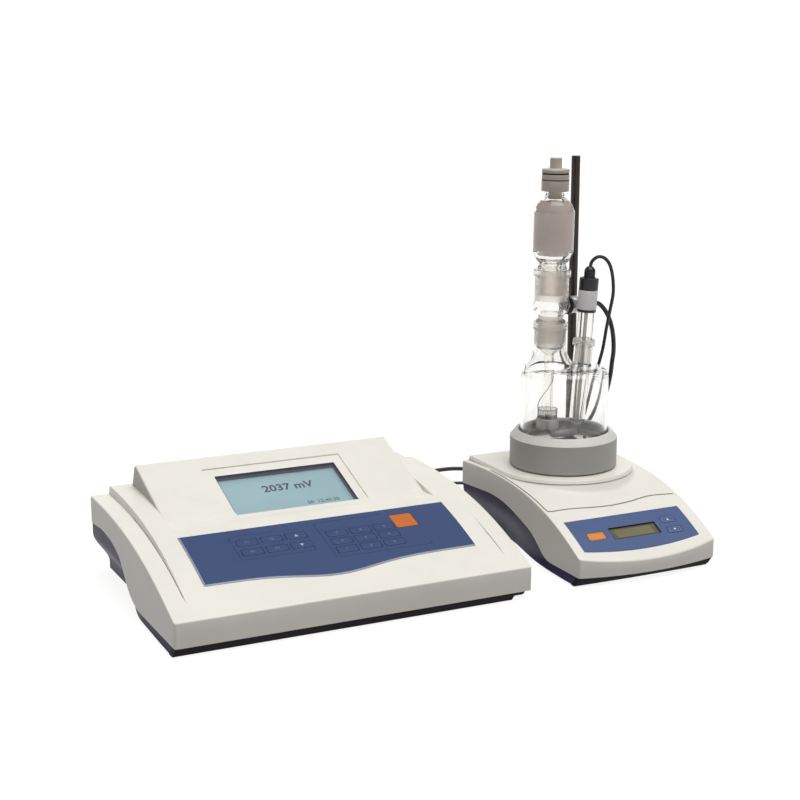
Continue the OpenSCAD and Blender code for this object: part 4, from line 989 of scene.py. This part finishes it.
# ---- stirrer cover
STIRRER_W, STIRRER_D = 131.0, 198.5
STIRRER_FRONT, FRONT_SLOPE = 23.0, 0.53
STIRRER_TOP = ([(-16, STIRRER_FRONT - 16 * FRONT_SLOPE)]
               + bezier([(0, STIRRER_FRONT), (42, 46), (85, 67), (STIRRER_D, 57.5)]))
STIRRER_EDGE = ([(-16, 7.3)] + bezier([(42, 7.3), (62, 7.3), (62, 22), (86, 28.5)], 18)
                + bezier([(86, 28.5), (108, 36), (125, 41), (150, 40.4)], 14)[1:] + [(STIRRER_D, 37.2)])
PLATFORM_Z, PLATFORM_RX, PLATFORM_RY = 62.6, 60.0, 58.0
PLATE_T, SKIRT_FOOT, SKIRT_RUN, REAR_RUN = 1.5, 48, 9.0, 6
SKIRT_BLEND, SKIRT_LIFT, COVER_BLEND = 1.6, 0.25, 0.9
SKIRT_SLOPE = (PLATFORM_Z - SKIRT_FOOT) / SKIRT_RUN
PANEL_WELL = (17.0, 111.0, 9.0, 31.0)
FRONT_BOW = 9.3
BOW_R = ((STIRRER_W / 2) ** 2 + FRONT_BOW ** 2) / (2 * FRONT_BOW)
LCD_X, LCD_Y, LCD_W, LCD_H = 64.7, 19.2, 44.6, 13.0


def front_bow(x):
    """How far the front edge bulges forward."""
    return max(0.0, math.sqrt(BOW_R ** 2 - (x - STIRRER_W / 2) ** 2) - BOW_R + FRONT_BOW)


def arch_gap(x, y):
    """How far a plan point lies outside the platform's arch."""
    dx, dy = x - CELL_X, y - CELL_Y
    if dy >= 0:
        return abs(dx) - PLATFORM_RX
    r = math.hypot(dx, dy)
    return r - 1 / math.sqrt((dx / r / PLATFORM_RX) ** 2 + (dy / r / PLATFORM_RY) ** 2)


def stirrer_height(x, y):
    """Height of the cover: the curved top, the skirt up to the platform and the panel's well."""
    lower = lookup(y, STIRRER_TOP)
    if inside(x, y, PANEL_WELL):
        return lower - WELL
    fall = arch_gap(x, y) * SKIRT_SLOPE
    raised = PLATFORM_Z - 0.5 * (fall + math.sqrt(fall ** 2 + SKIRT_BLEND ** 2)) + SKIRT_LIFT
    raised = min(raised, PLATFORM_Z) - PLATE_T
    if y > STIRRER_D - REAR_RUN:
        raised = min(raised, lerp(PLATFORM_Z, SKIRT_FOOT, smooth((y - STIRRER_D + REAR_RUN) / REAR_RUN)))
    return 0.5 * (lower + raised + math.sqrt((lower - raised) ** 2 + COVER_BLEND ** 2))


lcd_columns = [LCD_X - LCD_W / 2 - 0.3, LCD_X + LCD_W / 2 + 0.3]
lcd_lines = [LCD_Y - LCD_H / 2 * 0.87 - 0.3, LCD_Y + LCD_H / 2 * 0.87 + 0.3]
columns = both_ends(EDGE_MARKS, stations(6, (125, 1.55)), STIRRER_W)
lines = both_ends(EDGE_MARKS, stations(5.4, (BOW_END, 1.6), (45, 1.7), (STIRRER_D - 5, 1.5)), STIRRER_D)
shell("stirrer_cover_shell", sorted(columns + lcd_columns), sorted(lines + lcd_lines), stirrer_height,
      STIRRER_EDGE, STIRRER_W, STIRRER_D, 2.0, stirrer, bow=front_bow, hole=(*lcd_columns, *lcd_lines),
      replaces=["stirrer_cover"])

SEAM_LINE = [(2.4, 150), (2.1, 123), (2.1, 91), (2.7, 73), (2.7, 60), (3.3, 54.9), (8, 54.4), (16, 54.6),
             (24, 54.5), (33, 53.6), (42, 52.4), (53, 51.5), (64, 51.3), (75, 52.1), (85, 53.4), (94, 55.3),
             (101, 56.5), (108, 56.7), (114, 56.2), (127, 54.9)]
# a dark line along the stirrer cover's seam: painted shade of its groove
bead("stirrer_seam_shadow", densify(filleted(SEAM_LINE, 1.6, 4, closed=False), 1.2), 1.5, 0.05, -0.01, SEAM_SHADOW,
     place=over(stirrer_height, stirrer), slot="ivory_plastic")


def arch_outline(grow, n=96):
    """The platform's plan: an elliptical front and straight sides back to the rear."""
    rx, ry = PLATFORM_RX + grow, PLATFORM_RY + grow
    turns = [math.pi + math.pi * k / n for k in range(n + 1)]
    front = [(CELL_X + rx * math.cos(a), CELL_Y + ry * math.sin(a)) for a in turns]
    right = [(CELL_X + rx, y) for y in (CELL_Y + 20, CELL_Y + 40, STIRRER_D - 5)]
    return front + right + [(CELL_X - rx, y) for _, y in reversed(right)]


PLATFORM_EDGE = [(1.5, -2.6), (0.9, -1.7), (0.45, -1), (0.2, -0.45), (-0.15, -0.15), (-0.6, -0.02), (-1.2, 0)]
rings = [[(x, y, PLATFORM_Z + dz) for x, y in arch_outline(grow)] for grow, dz in PLATFORM_EDGE]
v, f = rings_to_mesh(rings, cap_start=False)
piece("stirrer_platform", v, f, IVORY, place=stirrer, slot="ivory_plastic", smooth_deg=60)

# ---- stirrer panel
PANEL_SLOPE = math.atan((lookup(30, STIRRER_TOP) - lookup(6, STIRRER_TOP)) / 24)
PRINT_Z = KEY_PROUD - 0.02


def panel_place(x, y):
    """The frame of a key or display on the stirrer's panel."""
    return tilted(x, y, lookup(y, STIRRER_TOP), PANEL_SLOPE, stirrer)


def key_outline(name, body, place, x1, y1, width, mat, slot):
    """A printed line round the middle of a key."""
    line = filleted([(-x1, -y1), (x1, -y1), (x1, y1), (-x1, y1)], 1, 3)
    bead(name, line + line[:1], width, PRINT_T, PRINT_Z, mat, body=body, place=place, slot=slot)


START_X, START_Y = 27.8, 19.1
key_piece("stirrer_start_key", panel_place(START_X, START_Y), 15.5, 8, ORANGE_WARM, "key_orange")
for name, y, up in (("stirrer_up_key", 25.4, True), ("stirrer_down_key", 14.4, False)):
    place = panel_place(101, y)
    key_piece(name, place, 13.5, 6.5, SLATE, "key_slate")
    key_outline(name + "_outline", name, place, 5.6, 2.3, 0.35, SLATE_LINE, "key_slate")
    key_arrow(name, place, 1.9, up, WHITE, "key_slate", PRINT_Z)
key_outline("stirrer_start_outline", "stirrer_start_key", panel_place(START_X, START_Y), 6.7, 3, 0.4,
            ORANGE_LIGHT, "key_orange")
place = panel_place(LCD_X, LCD_Y)
recess = rounded_rect(LCD_W + 0.2, LCD_H + 0.2, 0.5, 2)
# the recess wall round the stirrer's display is near-black as painted shade
thin_wall("stirrer_lcd_wall", recess, (0.42, -2.2), 0.35, PAINTED_SHADE_AND_BLACK, place)
slab("stirrer_lcd_field", rounded_rect(35, 9, 0.4, 2), (-0.8, -0.72), OLIVE_FIELD, place=place,
     slot="stirrer_lcd")

# ---- stirrer base
STIRRER_FLARE = (0.8, 54, 150, 11)
base("stirrer_base_shell", STIRRER_W, stations(1, (42, 5), (150, 2), (STIRRER_D - 1.5, 5)), STIRRER_EDGE,
     STIRRER_FLARE, (5, -5), stirrer, replaces=["stirrer_base"])
_, back_side = half_section(STIRRER_D, STIRRER_EDGE, STIRRER_FLARE, 0)
left = [(x - 0.5, z) for x, z in back_side]
extruded("stirrer_base_back", left + [(STIRRER_W - x, z) for x, z in reversed(left)],
         (STIRRER_D - 5.5, STIRRER_D - 3), NAVY, place=stirrer, smooth_deg=35)


def stirrer_strip(z, x0, x1, front_y):
    """One level of the strip under the front, near-black as painted shade: nearly straight, set back under
    the bowed lip.
    """
    front = [(lerp(x0, x1, t), front_y - 2.4 * 4 * t * (1 - t) * (0.4 + 0.6 * z / 7), z)
             for t in stations(0, (1, 0.04))]
    return front + [(x, 5.0, z) for x, _, _ in reversed(front)]


STRIP_LEVELS = ((1.5, -4.1, 122.5, 0.2), (2.2, -3.9, 123.5, -0.3), (7.15, 1.0, 128.0, -0.4))
v, f = rings_to_mesh([stirrer_strip(*level) for level in STRIP_LEVELS])
piece("stirrer_base_front", v, f, PAINTED_SHADE_AND_BLACK, place=stirrer, slot="navy_plastic")

# ---- collar and generator electrode, (radius, z)
COLLAR = [(38.5, PLATFORM_Z), (44.5, PLATFORM_Z), (44.5, PLATFORM_Z + 1), (46.5, PLATFORM_Z + 1.6),
          (46.5, 88.3), (41.2, 94.4), (39.2, 94), (38.5, 91.9), (38.5, 84), (0, 84), (0, 80), (38.5, 80)]
# the chamfer and top take the lighter grey as painted light
turned("cell_collar_ring", COLLAR, [GREY, GREY_PAINTED_LIGHT], cell, 0.5, segments=144, zones=((88.6, 95, 38.6, 1),),
       replaces=["cell_collar"], slot="collar_grey")

CUP_Z, CUP_TOP, NECK_TOP, SOCKET_Z, GENERATOR_TOP = 94.6, 103.6, 188.0, 207.0, 233.5
BORE, STEM, STEM_BORE = 11.2, 4.2, 3.0
GENERATOR = [(9.8, CUP_TOP), (STEM, CUP_TOP), (STEM, 160), (BORE - 0.15, 166), (BORE - 0.15, NECK_TOP + 0.2),
             (13.6, NECK_TOP + 1), (11, 191), (11, 194), (13.5, 196), (15.2, 199), (15.7, 202), (15.2, 205),
             (14.5, SOCKET_Z), (14.5, 227), (16, 228), (16, GENERATOR_TOP), (BORE, GENERATOR_TOP),
             (BORE, SOCKET_Z), (12, 204), (12, 200), (BORE - 2, 196), (BORE - 2, 167), (STEM_BORE, 161),
             (STEM_BORE, CUP_TOP - 1), (8.3, CUP_TOP - 1), (8.3, CUP_Z), (9.8, CUP_Z)]
turned("generator_glass", GENERATOR, [GLASS, FROST, FRIT], main_axis, 1.0,
       zones=((167, NECK_TOP, 9, 1), (SOCKET_Z, 226, 10, 1), (CUP_Z - 1, CUP_TOP, 5, 2)),
       replaces=["generator_body"], slot="cell_glass")
ARM_TURN, ARM_Z, ARM_START = math.radians(32), 201.5, 16.5


def arm(p):
    """The side arm's frame: z runs outwards from the generator's axis."""
    c, s = math.cos(ARM_TURN), math.sin(ARM_TURN)
    return main_axis((c * p[2] - s * p[1], s * p[2] + c * p[1], ARM_Z - p[0]))


CONNECTOR = [(0, 18.5), (7.4, 18.5), (7.4, 21), (6.9, 21.4), (6.9, 22.2), (7.4, 22.6), (7.4, 27), (6.6, 27.5),
             (0, 27.5)]
GRIP = [(0, 27.5), (5.4, 27.5), (5.4, 37.8), (4.7, 38.5), (4.6, 40), (4.2, 40.4), (4.2, 41.4), (3.9, 41.8),
        (3.9, 42.8), (3.5, 43.2), (3.5, 44.2), (3.1, 44.6), (3.0, 47.5), (0, 47.5)]
turned("generator_arm", sleeve(3.9, 5.5, 13.5, ARM_START), [GLASS], arm, 0.4, slot="cell_glass")
turned("connector_washer", sleeve(0, 8.2, ARM_START, ARM_START + 2), [BLACK], arm, 0.4, slot="black_plastic")
turned("connector_shell", CONNECTOR, [CHROME], arm, 0.35, replaces=["generator_connector"],
       slot="connector_metal")
turned("connector_grip", GRIP, [BLACK], arm, 0.3, slot="black_plastic")

CAGE_Z, CAGE_H, CAGE_R = CUP_TOP + 0.4, 8.0, 8.4
CAGE_TOP = CAGE_Z + CAGE_H


def cage(strands=30, bands=7):
    """The cathode: a drum of crossed wires with a lead that runs up beside the stem."""
    rings = [circle(CAGE_R, CAGE_Z + CAGE_H * i / bands, strands, 0.5 * (i % 2)) for i in range(bands + 1)]
    v, f = rings_to_mesh(rings, cap_start=False, cap_end=False)
    drum = piece("cathode_cage", v, f, MESH, place=main_axis, replaces=["generator_cathode"],
                 slot="cathode_mesh", outward=False)
    wire = drum.modifiers.new("wires", "WIREFRAME")
    wire.thickness = 0.32 * MM
    wire.use_even_offset = False
    for name, z in (("cathode_rim_lower", CAGE_Z), ("cathode_rim_upper", CAGE_TOP - 0.5)):
        rim = sleeve(CAGE_R - 0.3, CAGE_R + 0.3, z, z + 0.5)
        turned(name, rim, [MESH], main_axis, 0.1, slot="cathode_mesh")
    line = [(-CAGE_R, 0, -0.3), (-CAGE_R, -0.5, 4), (-6.2, -3, 10), (-1, -5.2, 18), (3.2, -4, 25),
            (4.2, -2.4, 34)]
    rings = [[(x + a, y + b, CAGE_TOP + z) for a, b, _ in circle(0.35, 0, 10)] for x, y, z in line]
    v, f = rings_to_mesh(rings)
    piece("cathode_lead", v, f, MESH, place=main_axis, slot="cathode_mesh")


cage()

# ---- drying tube and stopper
DRYING_R, DRYING_NECK = 17.25, 7.5
DRYING = [(7, 212), (10.9, 212), (10.9, GENERATOR_TOP + 0.3), (12.5, GENERATOR_TOP + 0.3), (12.5, 236),
          (11, 238), (14.25, 242), (DRYING_R, 249), (DRYING_R, 283), (14.75, 289), (9, 295),
          (DRYING_NECK, 298), (DRYING_NECK, 304), (6, 304), (6, 295), (13.25, 288), (15.65, 282.5),
          (15.65, 250), (12.75, 244), (7, 239)]
FILL = [(0, 246.4), (13.6, 246.4), (15.66, 250.2), (15.66, 282.4), (13.3, 288), (11.2, 291.2), (0, 291.2)]
turned("drying_tube_glass", DRYING, [GLASS, FROST], main_axis, 1.6, zones=((212.5, 231, 10, 1),),
       body="drying_tube", replaces=["drying_tube"], slot="cell_glass")
turned("desiccant_fill", FILL, [BEAD], main_axis, 0.4, body="drying_tube", replaces=["desiccant"],
       slot="desiccant")

PLUG_R, CAP_R, GROOVE_R = 5.7, 11.75, 11
CAP = [(0, 293), (PLUG_R, 293), (PLUG_R, 304.3), (DRYING_NECK + 0.3, 304.3), (DRYING_NECK + 0.3, 300),
       (CAP_R, 300), (CAP_R, 309), (11.4, 309.4), (CAP_R, 309.8), (CAP_R, 313.8), (GROOVE_R, 314.2),
       (GROOVE_R, 315.2), (CAP_R, 315.6), (CAP_R, 318), (GROOVE_R, 318.8), (5.1, 319.2), (5.1, 327.4),
       (4.6, 328), (0, 328)]
turned("stopper_cap", CAP, [STOPPER], main_axis, 0.35, body="stopper", replaces=["stopper"],
       slot="stopper_grey")
for name, r, z, h in (("stopper_ring_1", 11.0, 314.6, 1.7), ("stopper_ring_2", 11.45, 309.4, 1.0)):
    turned(name, sleeve(r - 0.6, r + 0.35, z - h / 2, z + h / 2), [RUBBER], main_axis, 0.2, body="stopper",
           slot="foot_rubber")

# ---- detector electrode
TUBE_R, TUBE_WALL, BALL_Z, HEAD_Z, SLEEVE_TOP, HEAD_TOP = 6.85, 1.1, 104.0, 197.0, 216, 236.0


def ball(r):
    """The quarter circle that closes the tube below, from the axis outwards."""
    quarter = [math.radians(a) for a in range(0, 91, 10)]
    return [(0, BALL_Z - r)] + [(r * math.sin(a), BALL_Z - r * math.cos(a)) for a in quarter[1:]]


DETECTOR = (ball(TUBE_R) + [(TUBE_R, 153.5), (TUBE_R, 169.5), (TUBE_R, HEAD_Z), (TUBE_R - TUBE_WALL, HEAD_Z)]
            + ball(TUBE_R - TUBE_WALL)[::-1])
turned("detector_glass", DETECTOR, [GLASS, FROST], side_axis, 0.1, zones=((153.4, 169.6, 6, 1),),
       replaces=["detector_tube"], slot="cell_glass")
turned("detector_stem", sleeve(0, 1.6, 99, HEAD_Z), [FRIT], side_axis, 0.3, slot="pin_platinum")
turned("detector_ring", sleeve(0, 8.1, HEAD_Z, HEAD_Z + 2.4), [BLACK], side_axis, 0.35,
       replaces=["detector_head"], slot="head_black")
turned("detector_sleeve", sleeve(0, 8.3, HEAD_Z + 2.4, SLEEVE_TOP), [LABEL], side_axis, 0.35,
       slot="head_black")
HEAD = [(0, SLEEVE_TOP), (8.25, SLEEVE_TOP), (8.25, 225.6), (7.9, 226.2), (5.1, 226.6)]
for z in (226.6, 228.5, 230.4):
    HEAD += [(4.9, z + 1.1), (4.5, z + 1.3), (4.5, z + 1.7), (4.9, z + 1.9)]
HEAD += [(4.2, 234), (2.6, HEAD_TOP), (0, HEAD_TOP)]
turned("detector_cap", HEAD, [BLACK], side_axis, 0.25, slot="head_black")

# ---- nodes that keep their solid
for mat, kept in ((BOARD, ("key_board", "main_board", "stirrer_board")), (BLUE, ("keypad_overlay",)),
                  (BLACK, ("power_supply", "power_inlet", "power_switch", "generator_plug")),
                  (CHROME, ("detector_socket", "generator_socket", "detector_plug")),
                  (STEEL, ("case_screws", "stir_motor", "magnet_rotor", "detector_pins")),
                  (PAINTED_SHADE_AND_BLACK, ("rear_panel",)), (RUBBER, ("rubber_feet",)), (ROD_DARK_REFLECTION, ("support_rod",)),
                  (SLATE, ("stirrer_overlay",)), (OLIVE, ("stirrer_lcd",)), (VESSEL, ("cell_vessel",)),
                  (BAR, ("stir_bar",))):
    for node in kept:
        keep(node, mat)


# ---- studio
def stage_plane(name, corners, colour, strength):
    """A flat of the studio that gives off light and is no part of the model."""
    def build(nodes, links, shader):
        settle(shader, Base_Color=(*colour, 1), Roughness=0.9, Specular_IOR_Level=0.1,
               Emission_Color=(*colour, 1), Emission_Strength=strength)

    mesh = bpy.data.meshes.new(name)
    mesh.from_pydata(corners, [], [(0, 1, 2, 3)])
    mesh.materials.append(material(name, build))
    obj = added(name, mesh)
    obj.visible_diffuse = False


FLOOR, WALL_AWAY, WALL = 9, 3.6, 1.9
stage_plane("floor", [(-FLOOR, -FLOOR, 0), (FLOOR, -FLOOR, 0), (FLOOR, FLOOR, 0), (-FLOOR, FLOOR, 0)],
            (0.16, 0.16, 0.158), 5.6)
away = Vector((math.sin(math.radians(VIEW_TURN)), math.cos(math.radians(VIEW_TURN)), 0))
across = Vector((away.y, -away.x, 0))
corners = [away * WALL_AWAY + across * x + Vector((0, 0, z))
           for x, z in ((-WALL, 0), (WALL, 0), (WALL, WALL), (-WALL, WALL))]
stage_plane("backdrop", [tuple(corner) for corner in corners], (0.975, 0.965, 0.955), 0.86)

world = bpy.data.worlds.new("studio")
bpy.context.scene.world = world
world.use_nodes = True
nodes, links = world.node_tree.nodes, world.node_tree.links
sky_coords = nodes.new("ShaderNodeTexCoord")
sky_split = nodes.new("ShaderNodeSeparateXYZ")
sky_span = nodes.new("ShaderNodeMapRange")
links.new(sky_coords.outputs["Generated"], sky_split.inputs[0])
links.new(sky_split.outputs[2], sky_span.inputs[0])
sky_span.inputs[1].default_value = -1
sky_span.inputs[2].default_value = 1
sky = ramp(nodes, links, sky_span.outputs[0], [(0.0, (0.13, 0.13, 0.13)), (0.47, (0.2, 0.2, 0.205)),
                                               (0.56, (0.24, 0.24, 0.245)), (1.0, (0.48, 0.48, 0.485))])
links.new(sky, nodes["Background"].inputs[0])
nodes["Background"].inputs[1].default_value = 1.0

overhead = added("overhead", bpy.data.lights.new("overhead", "SUN"))
overhead.data.energy = 2.3
overhead.data.angle = math.radians(50)
overhead.rotation_euler = Vector((-0.1, 0.2, -1)).to_track_quat("-Z", "Y").to_euler()
scene.view_settings.view_transform = "Standard"
